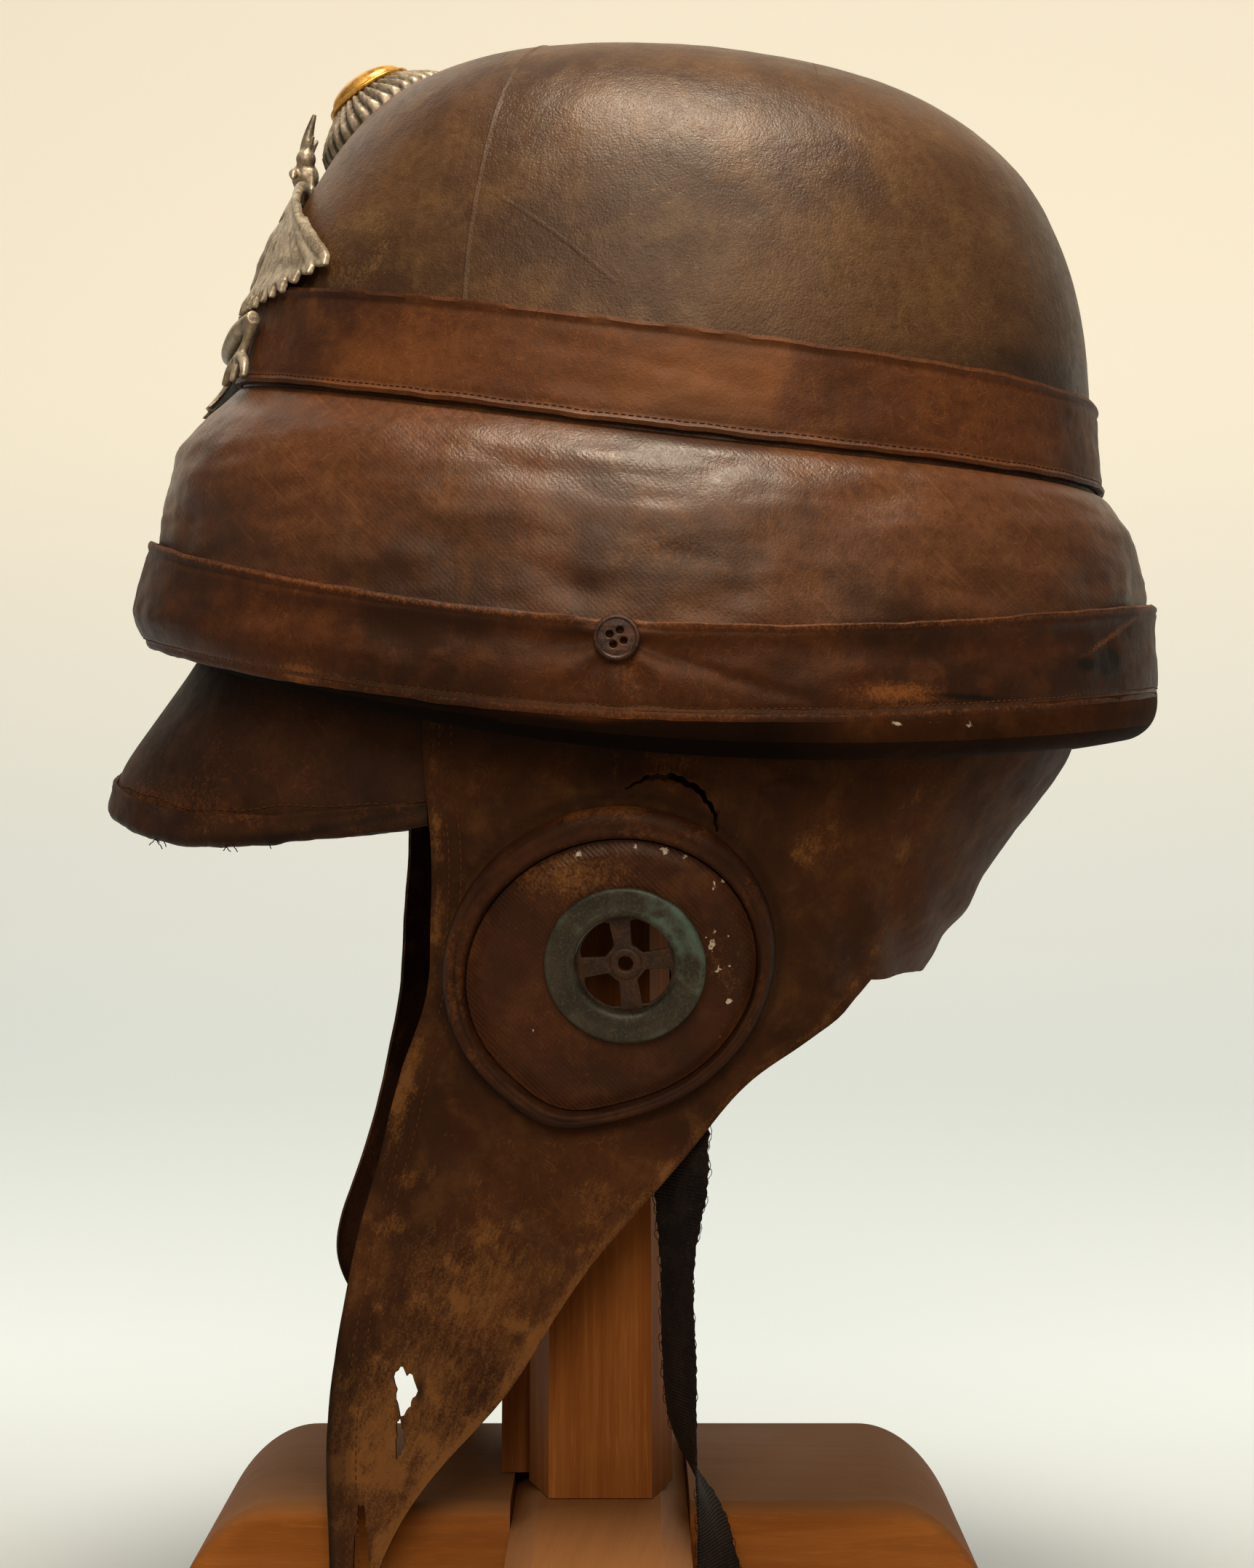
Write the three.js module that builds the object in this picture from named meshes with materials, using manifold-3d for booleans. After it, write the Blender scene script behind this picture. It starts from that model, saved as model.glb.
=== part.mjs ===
// A leather flying helmet on a plain wooden stand.
// Millimetres, +Z up. The face looks along -Y and the wearer's left side is +X.
// The origin is under the middle of the whole thing, on the surface it stands on.

import * as THREE from 'three';
import { mergeVertices } from 'three/addons/utils/BufferGeometryUtils.js';
import Module from 'manifold-3d';

const wasm = await Module();
wasm.setup();

// Driving dimensions
const CLEARANCE = 0.3;
const LEATHER = 2.0;
const THIN_LEATHER = 1.5;
const BAND_LEATHER = 1.7;
const BAND_GAP = 0.4;
const AROUND = 32;

const BEAD = 0.9;
const PEAK_THICKNESS = 2.2;
const BINDING = 1.0;
const BINDING_GAP = 0.35;
const BINDING_SHARE = 0.146;

const EAR = { y: 2, z: 223, tilt: 0.24, slant: 0.11 };
const RING = { halfLength: 47.6, halfHeight: 46.4, width: 5.6, height: 4.2 };
const ROUNDEL = { halfLength: 41.6, halfHeight: 40.4, height: 2.4 };
const GROMMET = { outer: 23, inner: 14.2, barrel: 15.4, depth: 3.5, seat: 0.9, forward: 5.6, up: 0.8 };
const SPOKE = { count: 4, width: 5, height: 1.2, lift: 0.2, bite: 0.6, turn: 0.12 };
const HUB = { outer: 4.6, inner: 2.2, height: 2.2, sides: 10 };

const BUTTON = { radius: 6.4, thickness: 1.8, bevel: 0.4, y: 9, z: 313.5 };
const BUTTON_HOLES = { count: 4, radius: 0.9, spacing: 1.9, turn: 1.135 };

const COCKADE = { y: -76.8, z: 484, lean: 0.552, flutes: 20, flute: 0.9 };
const BOSS = { radius: 14, base: 0.6, height: 4.4, sides: 18, steps: 4 };

const STAND_TURN = 5 * Math.PI / 180;
const BAR = { height: 60, halfDepth: 59.5, flatHalf: 90, roundLength: 37, chamfer: 6, x: -9, y: -13 };
const CROSS = { halfWidth: 26.5, halfLength: 129, chamferWidth: 8.5, chamferHeight: 6, y: -8 };
const POST = {
  foot: 44,
  top: 39,
  face: 31,
  bevel: 24,
  front: 44.4,
  frontDepth: 34,
  depth: 90,
  offset: 9,
  rearInset: 2,
  y: -8,
};
const POST_TOP = 455;
const BLOCK_BOTTOM = 455.4;
const BLOCK_FIRST_ROW = 7;
const BLOCK_GAP = 0.6;
const BLOCK_TAPER = 0.9;

// Small helpers for tables

function table(columns, rows) {
  return rows.map((row) => Object.fromEntries(columns.map((name, index) => [name, row[index]])));
}

function blendRows(first, second, share) {
  const row = {};
  for (const name of Object.keys(first)) {
    row[name] = first[name] + (second[name] - first[name]) * share;
  }
  return row;
}

function rowAt(rows, column, value) {
  const rising = rows[rows.length - 1][column] > rows[0][column];
  const ordered = rising ? rows : [...rows].reverse();
  for (let index = 0; index < ordered.length - 1; index += 1) {
    const low = ordered[index];
    const high = ordered[index + 1];
    if (value <= high[column]) {
      const share = (value - low[column]) / (high[column] - low[column]);
      return blendRows(low, high, Math.max(share, 0));
    }
  }
  return ordered[ordered.length - 1];
}

// Oval sections of the helmet. Angle 0 is the front, a quarter turn the left side.
// Each section has its own height at the front, the side and the back.

const SECTION = ['front', 'back', 'halfWidth', 'frontHeight', 'sideHeight', 'backHeight', 'squareness'];

const CROWN = table(SECTION, [
  [-118.0, 146.0, 107.0, 314.5, 294.5, 299.0, 2.15],
  [-119.5, 146.5, 108.6, 365.0, 342.0, 338.0, 2.15],
  [-119.5, 145.5, 109.0, 398.0, 373.5, 362.5, 2.15],
  [-112.6, 143.6, 107.0, 425.5, 402.5, 388.5, 2.15],
  [-104.5, 141.0, 104.0, 445.0, 423.0, 416.0, 2.18],
  [-93.0, 134.5, 98.0, 465.0, 446.0, 438.5, 2.2],
  [-77.5, 123.5, 87.0, 482.5, 467.0, 458.5, 2.25],
  [-58.5, 104.0, 70.0, 493.4, 483.0, 476.0, 2.2],
  [-37.0, 74.0, 46.0, 499.0, 494.2, 490.5, 2.05],
  [-16.0, 40.0, 23.0, 501.2, 499.8, 497.8, 2.0],
  [4.0, 4.0, 0.0, 501.8, 501.8, 501.8, 2.0],
]);
const BAND_BOTTOM_ROW = 2;
const BAND_TOP_ROW = 3;

const BUMPER = table(SECTION, [
  [-120.2, 146.4, 109.6, 396.8, 372.3, 361.2, 2.15],
  [-128.0, 149.0, 115.0, 389.5, 369.0, 359.5, 2.15],
  [-137.4, 154.0, 122.5, 379.0, 359.0, 352.5, 2.15],
  [-142.6, 158.4, 128.0, 364.5, 341.5, 342.0, 2.15],
  [-144.6, 160.2, 130.4, 350.0, 318.5, 328.5, 2.15],
  [-149.4, 161.0, 130.2, 332.0, 306.0, 315.0, 2.15],
  [-145.0, 161.4, 128.0, 318.0, 287.0, 291.5, 2.15],
  [-133.0, 152.5, 118.0, 316.4, 283.5, 287.5, 2.15],
  [-119.6, 147.6, 108.6, 314.5, 289.0, 293.0, 2.15],
  [-120.6, 147.6, 109.4, 365.0, 342.0, 338.0, 2.15],
]);
const BUMPER_UNDERSIDE = 7;

const RIM_OUTER = table(SECTION, [
  [-147.4, 162.8, 132.9, 350.0, 318.5, 328.3, 2.15],
  [-148.5, 163.7, 133.5, 347.2, 316.6, 326.4, 2.15],
  [-149.2, 163.3, 133.0, 344.0, 314.5, 324.3, 2.15],
  [-153.0, 163.9, 132.8, 329.0, 305.0, 313.0, 2.15],
  [-148.2, 163.7, 131.0, 317.5, 291.8, 300.0, 2.15],
]);

function sectionPoint(row, angle, grow = 0) {
  const sine = Math.sin(angle);
  const cosine = Math.cos(angle);
  const power = row.squareness;
  const reach = (Math.abs(sine) ** power + Math.abs(cosine) ** power) ** (-1 / power);
  const middle = (row.front + row.back) / 2;
  const halfLength = (row.back - row.front) / 2 + grow;
  const meanHeight = (row.frontHeight + row.backHeight) / 2;
  const tilt = (row.frontHeight - row.backHeight) / 2;
  return new THREE.Vector3(
    (row.halfWidth + grow) * reach * sine,
    middle - halfLength * reach * cosine,
    meanHeight + tilt * cosine + (row.sideHeight - meanHeight) * sine * sine,
  );
}

function sectionRing(row, grow = 0) {
  const points = [];
  for (let index = 0; index < AROUND; index += 1) {
    points.push(sectionPoint(row, index / AROUND * 2 * Math.PI, grow));
  }
  return points;
}

// Solids from grids of points

function addTriangle(list, a, b, c) {
  const area = b.clone().sub(a).cross(c.clone().sub(a)).length();
  if (area > 1e-7) {
    list.push(a, b, c);
  }
}

function addQuad(list, a, b, c, d) {
  addTriangle(list, a, b, c);
  addTriangle(list, a, c, d);
}

function geometryFrom(points) {
  let volume = 0;
  for (let index = 0; index < points.length; index += 3) {
    volume += points[index].dot(points[index + 1].clone().cross(points[index + 2]));
  }
  const positions = [];
  for (let index = 0; index < points.length; index += 3) {
    const order = volume > 0 ? [0, 1, 2] : [0, 2, 1];
    for (const corner of order) {
      positions.push(...points[index + corner].toArray());
    }
  }
  const geometry = new THREE.BufferGeometry();
  geometry.setAttribute('position', new THREE.Float32BufferAttribute(positions, 3));
  const merged = mergeVertices(geometry, 1e-4);
  merged.computeVertexNormals();
  return merged;
}

function sheetSolid(outer, inner, { closed = false, keep = () => true } = {}) {
  const rows = outer.length;
  const columns = outer[0].length;
  const lastColumn = closed ? columns : columns - 1;
  const kept = (i, j) => {
    if (i < 0 || i >= rows - 1) {
      return false;
    }
    if (!closed && (j < 0 || j >= lastColumn)) {
      return false;
    }
    return keep(i, (j + columns) % columns);
  };
  const list = [];
  for (let i = 0; i < rows - 1; i += 1) {
    for (let j = 0; j < lastColumn; j += 1) {
      if (!kept(i, j)) {
        continue;
      }
      const k = (j + 1) % columns;
      const out = [outer[i][j], outer[i][k], outer[i + 1][k], outer[i + 1][j]];
      const back = [inner[i][j], inner[i][k], inner[i + 1][k], inner[i + 1][j]];
      addQuad(list, out[0], out[1], out[2], out[3]);
      addQuad(list, back[0], back[3], back[2], back[1]);
      if (!kept(i - 1, j)) {
        addQuad(list, out[1], out[0], back[0], back[1]);
      }
      if (!kept(i + 1, j)) {
        addQuad(list, out[3], out[2], back[2], back[3]);
      }
      if (!kept(i, j - 1)) {
        addQuad(list, out[0], out[3], back[3], back[0]);
      }
      if (!kept(i, j + 1)) {
        addQuad(list, out[2], out[1], back[1], back[2]);
      }
    }
  }
  return geometryFrom(list);
}

function addCap(list, loop, flip) {
  const normal = new THREE.Vector3();
  const centre = new THREE.Vector3();
  for (let index = 0; index < loop.length; index += 1) {
    normal.add(loop[index].clone().cross(loop[(index + 1) % loop.length]));
    centre.add(loop[index]);
  }
  centre.divideScalar(loop.length);
  normal.normalize();
  const across = loop[1].clone().sub(loop[0]).normalize();
  const up = normal.clone().cross(across);
  const flat = loop.map((point) => {
    const offset = point.clone().sub(centre);
    return new THREE.Vector2(offset.dot(across), offset.dot(up));
  });
  for (const [a, b, c] of THREE.ShapeUtils.triangulateShape(flat, [])) {
    if (flip) {
      list.push(loop[a], loop[c], loop[b]);
    } else {
      list.push(loop[a], loop[b], loop[c]);
    }
  }
}

function loftSolid(loops, { closed = false } = {}) {
  const list = [];
  const count = closed ? loops.length : loops.length - 1;
  for (let i = 0; i < count; i += 1) {
    const here = loops[i];
    const next = loops[(i + 1) % loops.length];
    for (let j = 0; j < here.length; j += 1) {
      const k = (j + 1) % here.length;
      addQuad(list, here[j], here[k], next[k], next[j]);
    }
  }
  if (!closed) {
    addCap(list, loops[0], true);
    const last = loops[loops.length - 1];
    if (last[0].distanceTo(last[1]) > 1e-6) {
      addCap(list, last, false);
    }
  }
  return geometryFrom(list);
}

function toManifold(geometry) {
  const bare = geometry.clone();
  bare.deleteAttribute('normal');
  bare.deleteAttribute('uv');
  const merged = mergeVertices(bare, 1e-4);
  const vertProperties = new Float32Array(merged.attributes.position.array);
  const triVerts = new Uint32Array(merged.index.array);
  return new wasm.Manifold(new wasm.Mesh({ numProp: 3, vertProperties, triVerts }));
}

function fromManifold(solid) {
  const mesh = solid.getMesh();
  const geometry = new THREE.BufferGeometry();
  geometry.setAttribute('position', new THREE.Float32BufferAttribute(mesh.vertProperties, 3));
  geometry.setIndex([...mesh.triVerts]);
  geometry.computeVertexNormals();
  return geometry;
}

function cut(geometry, tools) {
  let solid = toManifold(geometry);
  for (const tool of tools) {
    solid = solid.subtract(toManifold(tool));
  }
  return fromManifold(solid);
}

function fuse(geometries) {
  let solid = toManifold(geometries[0]);
  for (const other of geometries.slice(1)) {
    solid = solid.add(toManifold(other));
  }
  return fromManifold(solid);
}

function mirrored(geometry) {
  const copy = geometry.clone();
  copy.applyMatrix4(new THREE.Matrix4().makeScale(-1, 1, 1));
  const index = [...copy.index.array];
  for (let corner = 0; corner < index.length; corner += 3) {
    [index[corner], index[corner + 1]] = [index[corner + 1], index[corner]];
  }
  copy.setIndex(index);
  copy.computeVertexNormals();
  return copy;
}

// Crown, its strap, the roll and the rim band

function crownGeometry() {
  const outer = CROWN.map((row) => sectionRing(row));
  const inner = CROWN.map((row) => sectionRing(row, row.halfWidth > 0 ? -LEATHER : 0));
  const pole = CROWN.length - 1;
  for (let index = BAND_TOP_ROW + 1; index <= pole; index += 1) {
    const drop = LEATHER * (index - BAND_TOP_ROW) / (pole - BAND_TOP_ROW);
    for (const point of inner[index]) {
      point.z -= drop;
    }
  }
  return sheetSolid(outer, inner, { closed: true });
}

function crownBandGeometry() {
  const rows = [CROWN[BAND_BOTTOM_ROW], CROWN[BAND_TOP_ROW]];
  const outer = rows.map((row) => sectionRing(row, BAND_GAP + BAND_LEATHER));
  const inner = rows.map((row) => sectionRing(row, BAND_GAP));
  return sheetSolid(outer, inner, { closed: true });
}

function bumperGeometry() {
  const rings = BUMPER.map((row) => sectionRing(row));
  return loftSolid(rings, { closed: true });
}

function rimBandGeometry() {
  const outer = RIM_OUTER.map((row) => sectionRing(row));
  const inner = RIM_OUTER.map((row, index) => {
    const raised = index === 1 ? BEAD : 0;
    return sectionRing(row, -BAND_LEATHER - raised);
  });
  return sheetSolid(outer, inner, { closed: true });
}

// A point of the roll's underside below a given place, for the peak to meet

function undersideHeight(x, y) {
  const row = BUMPER[BUMPER_UNDERSIDE];
  const middle = (row.front + row.back) / 2;
  const halfLength = (row.back - row.front) / 2;
  const angle = Math.atan2(x / row.halfWidth, (middle - y) / halfLength);
  return sectionPoint(row, angle).z;
}

// The thin inner cap, in two halves: an ear flap each, joined by the nape

const CAP_SECTION = [
  'height', 'front', 'back', 'halfWidth', 'squareness', 'frontEdge', 'farFrontEdge', 'rearEdge',
];

const CAP = table(CAP_SECTION, [
  [340, -116.0, 143.4, 104.6, 2.15, -52, -79.5, 98],
  [318, -114.0, 143.2, 104.2, 2.15, -51, -79.5, 97],
  [300, -112.0, 141.0, 103.0, 2.2, -50, -79.5, 96],
  [285, -108.0, 138.0, 101.0, 2.25, -50, -79.5, 94],
  [268, -104.0, 127.0, 98.8, 2.3, -49, -79.5, 91],
  [250, -101.0, 113.0, 95.6, 2.4, -48, -79.5, 87],
  [232, -100.0, 102.0, 91.6, 2.4, -49, -80, 82],
  [217, -100.0, 91.0, 87.8, 2.4, -50, -80.5, 76],
  [203, -102.0, 91.0, 84.6, 2.4, -54, -81.5, 63],
  [190, -106.0, 91.0, 82.0, 2.4, -59, -84, 44],
  [176, -112.0, 91.0, 79.6, 2.4, -63, -87, 31],
  [158, -120.0, 91.0, 77.6, 2.4, -68, -92, 16],
  [137, -130.0, 91.0, 76.2, 2.4, -74, -99, -2],
  [115, -140.0, 91.0, 75.2, 2.4, -78, -103, -17],
  [95, -150.0, 91.0, 74.4, 2.4, -81, -94, -30],
  [75, -158.0, 91.0, 73.8, 2.4, -82, -86, -48],
  [50, -164.0, 91.0, 73.4, 2.4, -81, -81, -64],
  [24, -168.0, 91.0, 73.0, 2.4, -80, -80, -72],
]);
const NAPE_LAST_ROW = 7;
const FLAP_COLUMNS = 8;
const NAPE_COLUMNS = 5;
const CAP_MIDDLE_Y = 10;

function capPoint(row, angle) {
  const power = row.squareness;
  const sine = Math.sin(angle);
  const cosine = Math.cos(angle);
  const reach = (Math.abs(sine) ** power + Math.abs(cosine) ** power) ** (-1 / power);
  const middle = (row.front + row.back) / 2;
  const halfLength = (row.back - row.front) / 2;
  return new THREE.Vector3(row.halfWidth * reach * sine, middle - halfLength * reach * cosine, row.height);
}

function capAngle(row, y) {
  const share = ((row.front + row.back) / 2 - y) / ((row.back - row.front) / 2);
  const across = Math.max(1 - Math.abs(share) ** row.squareness, 0) ** (1 / row.squareness);
  return Math.atan2(across, share);
}

function capSide(y, z) {
  const row = rowAt(CAP, 'height', z);
  return capPoint(row, capAngle(row, y)).x;
}

function gridNormals(grid) {
  return grid.map((line, i) => line.map((point, j) => {
    const left = line[Math.max(j - 1, 0)];
    const right = line[Math.min(j + 1, line.length - 1)];
    const above = grid[Math.max(i - 1, 0)][j];
    const below = grid[Math.min(i + 1, grid.length - 1)][j];
    return right.clone().sub(left).cross(above.clone().sub(below)).normalize();
  }));
}

function flapSheet(edgeColumn) {
  const outer = CAP.map((row) => {
    const start = capAngle(row, row[edgeColumn]);
    const fold = capAngle(row, row.rearEdge);
    const line = [];
    for (let j = 0; j <= FLAP_COLUMNS; j += 1) {
      line.push(capPoint(row, start + (fold - start) * j / FLAP_COLUMNS));
    }
    for (let j = 1; j <= NAPE_COLUMNS; j += 1) {
      line.push(capPoint(row, fold + (Math.PI - fold) * j / NAPE_COLUMNS));
    }
    return line;
  });
  const normals = gridNormals(outer);
  const inner = outer.map((line, i) => line.map((point, j) => {
    const inward = normals[i][j].clone();
    if (inward.x * point.x + inward.y * (point.y - CAP_MIDDLE_Y) > 0) {
      inward.negate();
    }
    return point.clone().addScaledVector(inward, THIN_LEATHER);
  }));
  for (const grid of [outer, inner]) {
    for (const line of grid) {
      for (const point of line) {
        point.x = Math.max(point.x, CLEARANCE / 2);
      }
    }
  }
  const keep = (i, j) => j < FLAP_COLUMNS || i < NAPE_LAST_ROW;
  return sheetSolid(outer, inner, { keep });
}

// Ear pieces. They lie in a plane that leans with the flap at the ear.

const earNormal = new THREE.Vector3(Math.cos(EAR.tilt), 0, -Math.sin(EAR.tilt));
const earUp = new THREE.Vector3(Math.sin(EAR.tilt), 0, Math.cos(EAR.tilt));

function onFlap(forward, up, lift) {
  const y = EAR.y + forward;
  const z = EAR.z + up * Math.cos(EAR.tilt);
  const x = capSide(y, z);
  return new THREE.Vector3(x, y, z).addScaledVector(earNormal, lift);
}

function ovalLoop(halfLength, halfHeight, count, lift) {
  const points = [];
  for (let index = 0; index < count; index += 1) {
    const angle = index / count * 2 * Math.PI;
    const up = halfHeight * Math.sin(angle);
    points.push(onFlap(halfLength * Math.cos(angle) + EAR.slant * up, up, lift));
  }
  return points;
}

const EAR_SEAT = 1.2;
const EAR_SIDES = 20;
const ROUNDEL_INSIDE = 12;
const EAR_HOLE_LENGTH = 30;

function earRingGeometry() {
  const profile = table(['inset', 'lift'], [
    [0.0, 0.0],
    [0.1, 0.5],
    [0.35, 0.95],
    [0.65, 0.95],
    [0.9, 0.5],
    [1.0, 0.0],
  ]);
  const loops = profile.map(({ inset, lift }) => ovalLoop(
    RING.halfLength - inset * RING.width,
    RING.halfHeight - inset * RING.width,
    EAR_SIDES,
    EAR_SEAT + lift * RING.height,
  ));
  return loftSolid(loops, { closed: true });
}

function earRoundelGeometry() {
  const profile = table(['share', 'lift'], [
    [0.0, 0.0],
    [1.0, 0.0],
    [1.0, 0.7],
    [0.94, 1.0],
    [0.0, 1.0],
  ]);
  const loops = profile.map(({ share, lift }) => ovalLoop(
    ROUNDEL_INSIDE + (ROUNDEL.halfLength - ROUNDEL_INSIDE) * share,
    ROUNDEL_INSIDE + (ROUNDEL.halfHeight - ROUNDEL_INSIDE) * share,
    EAR_SIDES,
    EAR_SEAT + lift * ROUNDEL.height,
  ));
  return loftSolid(loops, { closed: true });
}

const grommetCentre = onFlap(GROMMET.forward, GROMMET.up, EAR_SEAT + ROUNDEL.height + GROMMET.seat);

function placeAtEar(geometry) {
  const frame = new THREE.Matrix4().makeBasis(new THREE.Vector3(0, 1, 0), earUp, earNormal);
  geometry.applyMatrix4(frame.setPosition(grommetCentre));
  return geometry;
}

function lathe(profile, sides) {
  const outline = profile.map(({ radius, height }) => new THREE.Vector2(radius, height));
  const geometry = new THREE.LatheGeometry(outline, sides);
  geometry.rotateX(Math.PI / 2);
  geometry.deleteAttribute('normal');
  geometry.deleteAttribute('uv');
  return mergeVertices(geometry, 1e-4);
}

function grommetFlange() {
  const { outer, inner, barrel, depth } = GROMMET;
  return lathe(table(['radius', 'height'], [
    [inner, -depth],
    [barrel, -depth],
    [barrel, 0.3],
    [outer, -0.2],
    [outer, 0.8],
    [outer - 3, 2.2],
    [barrel + 2, 2.3],
    [inner, 1.0],
    [inner, -depth],
  ]), EAR_SIDES);
}

function grommetHub() {
  const low = -GROMMET.depth;
  const high = low + HUB.height;
  return lathe(table(['radius', 'height'], [
    [HUB.inner, low],
    [HUB.outer, low],
    [HUB.outer, high],
    [HUB.inner, high],
    [HUB.inner, low],
  ]), HUB.sides);
}

function grommetSpokes() {
  const from = HUB.outer - SPOKE.bite;
  const reach = GROMMET.inner + SPOKE.bite - from;
  const spokes = [];
  for (let index = 0; index < SPOKE.count; index += 1) {
    const spoke = new THREE.BoxGeometry(reach, SPOKE.width, SPOKE.height);
    spoke.translate(from + reach / 2, 0, -GROMMET.depth + SPOKE.lift + SPOKE.height / 2);
    spoke.rotateZ(SPOKE.turn + index * 2 * Math.PI / SPOKE.count);
    spokes.push(spoke);
  }
  return spokes;
}

function grommetGeometry() {
  return placeAtEar(fuse([grommetFlange(), grommetHub(), ...grommetSpokes()]));
}

function earHole() {
  const radius = GROMMET.barrel + CLEARANCE;
  const cylinder = new THREE.CylinderGeometry(radius, radius, EAR_HOLE_LENGTH, EAR_SIDES);
  cylinder.rotateX(Math.PI / 2);
  return placeAtEar(cylinder);
}

// Worn holes near the end of the left flap, as sideways prisms of a ragged outline

const RAGGED_HOLE = { y: -58.5, z: 96.5, size: 3.6, stretch: 2.0, points: 8 };
const SLIT_HOLE = { y: -59.5, z: 82.5, size: 0.9, stretch: 4.6, points: 5 };
const LOW_SLIT = { y: -71.5, z: 52, size: 2.2, stretch: 4.6, points: 5 };
const TEAR = { radius: 14, width: 1.7, shift: 0.4, from: 0.05, to: 1.9, y: 17, z: 265 };
const RAGGED_EDGE = { depth: 0.22, pace: 3.1, start: 0.7 };
const SIDE_CUT = { from: 50, length: 80 };

function raggedPrism({ y, z, size, stretch, points }) {
  const shape = new THREE.Shape();
  for (let index = 0; index < points; index += 1) {
    const angle = index / points * 2 * Math.PI;
    const wave = Math.sin(RAGGED_EDGE.pace * index + RAGGED_EDGE.start);
    const reach = size * (1 + RAGGED_EDGE.depth * wave);
    const across = reach * Math.cos(angle);
    const up = reach * stretch * Math.sin(angle);
    if (index === 0) {
      shape.moveTo(across, up);
    } else {
      shape.lineTo(across, up);
    }
  }
  return sidewaysPrism(shape, y, z);
}

function tearPrism() {
  const shape = new THREE.Shape();
  shape.absarc(0, 0, TEAR.radius, TEAR.from, TEAR.to, false);
  shape.absarc(0, TEAR.shift, TEAR.radius - TEAR.width, TEAR.to, TEAR.from, true);
  return sidewaysPrism(shape, TEAR.y, TEAR.z);
}

function sidewaysPrism(shape, y, z) {
  const prism = new THREE.ExtrudeGeometry(shape, {
    depth: SIDE_CUT.length,
    bevelEnabled: false,
    curveSegments: 6,
  });
  prism.rotateX(Math.PI / 2);
  prism.rotateZ(Math.PI / 2);
  prism.translate(SIDE_CUT.from, y, z);
  return prism;
}

// Peak and its binding

const PEAK_SIDE_Y = -50;
const PEAK_RIGHT_Y = -82;
const PEAK_SIDE_INSET = 2.4;
const PEAK_COLUMNS = 16;
const PEAK_TOP_GAP = 0.5;
const PEAK_CAP_HEIGHT = 285;
const PEAK_CAP_FALL = 20;

const PEAK = table(['share', 'reach', 'narrow'], [
  [0.0, 82.5, 1.2],
  [0.5, 100.0, 0.4],
  [0.8, 109.5, 0.1],
  [1.0, 112.5, 0.0],
]);
const PEAK_LOWER = table(['turn', 'height'], [
  [0.0, 270.0],
  [0.25, 264.5],
  [0.5, 258.5],
  [0.75, 259.0],
  [1.0, 264.5],
]);

function peakPoint(share, place) {
  const row = rowAt(PEAK, 'share', share);
  const rightEnd = -Math.acos((PEAK_SIDE_Y - PEAK_RIGHT_Y) / row.reach) * 2 / Math.PI;
  const turn = rightEnd + (1 - rightEnd) * place;
  const angle = turn * Math.PI / 2;
  const capX = capSide(PEAK_SIDE_Y, PEAK_CAP_HEIGHT - PEAK_CAP_FALL * share);
  const sideX = capX - PEAK_SIDE_INSET - row.narrow;
  const x = sideX * Math.sin(angle);
  const y = PEAK_SIDE_Y - row.reach * Math.cos(angle);
  const top = undersideHeight(x, y) - PEAK_TOP_GAP;
  const low = rowAt(PEAK_LOWER, 'turn', Math.abs(turn)).height;
  return new THREE.Vector3(x, y, top + (low - top) * share);
}

function peakGrid(shares, lift) {
  const grid = shares.map((share) => {
    const line = [];
    for (let index = 0; index <= PEAK_COLUMNS; index += 1) {
      line.push(peakPoint(share, index / PEAK_COLUMNS));
    }
    return line;
  });
  const normals = gridNormals(grid);
  return grid.map((line, i) => line.map((point, j) => {
    const outward = normals[i][j].clone();
    if (outward.x * point.x + outward.y * (point.y - PEAK_SIDE_Y) < 0) {
      outward.negate();
    }
    return point.clone().addScaledVector(outward, lift);
  }));
}

function peakGeometry() {
  const shares = [0, 0.4, 0.8, 1];
  return sheetSolid(peakGrid(shares, 0), peakGrid(shares, -PEAK_THICKNESS));
}

function peakBindingGeometry() {
  const shares = [1 - BINDING_SHARE, 1 - BINDING_SHARE / 2, 1];
  const gap = BINDING_GAP;
  const outside = peakGrid(shares, gap + BINDING);
  const outsideFace = peakGrid(shares, gap);
  const insideFace = peakGrid(shares, -PEAK_THICKNESS - gap);
  const inside = peakGrid(shares, -PEAK_THICKNESS - gap - BINDING);
  const loops = [];
  for (let j = 0; j <= PEAK_COLUMNS; j += 1) {
    const down = outside[2][j].clone().sub(outside[0][j]).normalize();
    const below = (point, distance) => point.clone().addScaledVector(down, distance);
    loops.push([
      outside[0][j],
      outside[1][j],
      outside[2][j],
      below(outsideFace[2][j], gap + BINDING),
      below(insideFace[2][j], gap + BINDING),
      inside[2][j],
      inside[1][j],
      inside[0][j],
      insideFace[0][j],
      insideFace[1][j],
      below(insideFace[2][j], gap),
      below(outsideFace[2][j], gap),
      outsideFace[1][j],
      outsideFace[0][j],
    ]);
  }
  return loftSolid(loops);
}

// Badges on the front of the crown

const BADGE_SEAT = 3.5;
const BADGE_WRAP = { radius: 106, y: 0 };
const NECK_HEIGHT = 460;
const TAIL_LIFT = { below: 402, over: 10, outward: 4.6 };
const CAST_DISTANCE = 260;
const crownSkin = new THREE.Mesh(crownGeometry(), new THREE.MeshBasicMaterial({ side: THREE.DoubleSide }));
crownSkin.updateMatrixWorld();
const caster = new THREE.Raycaster();

function seatOnCrown(from, direction) {
  caster.set(from, direction.clone().normalize());
  const hits = caster.intersectObject(crownSkin);
  return hits[0].point;
}

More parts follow.
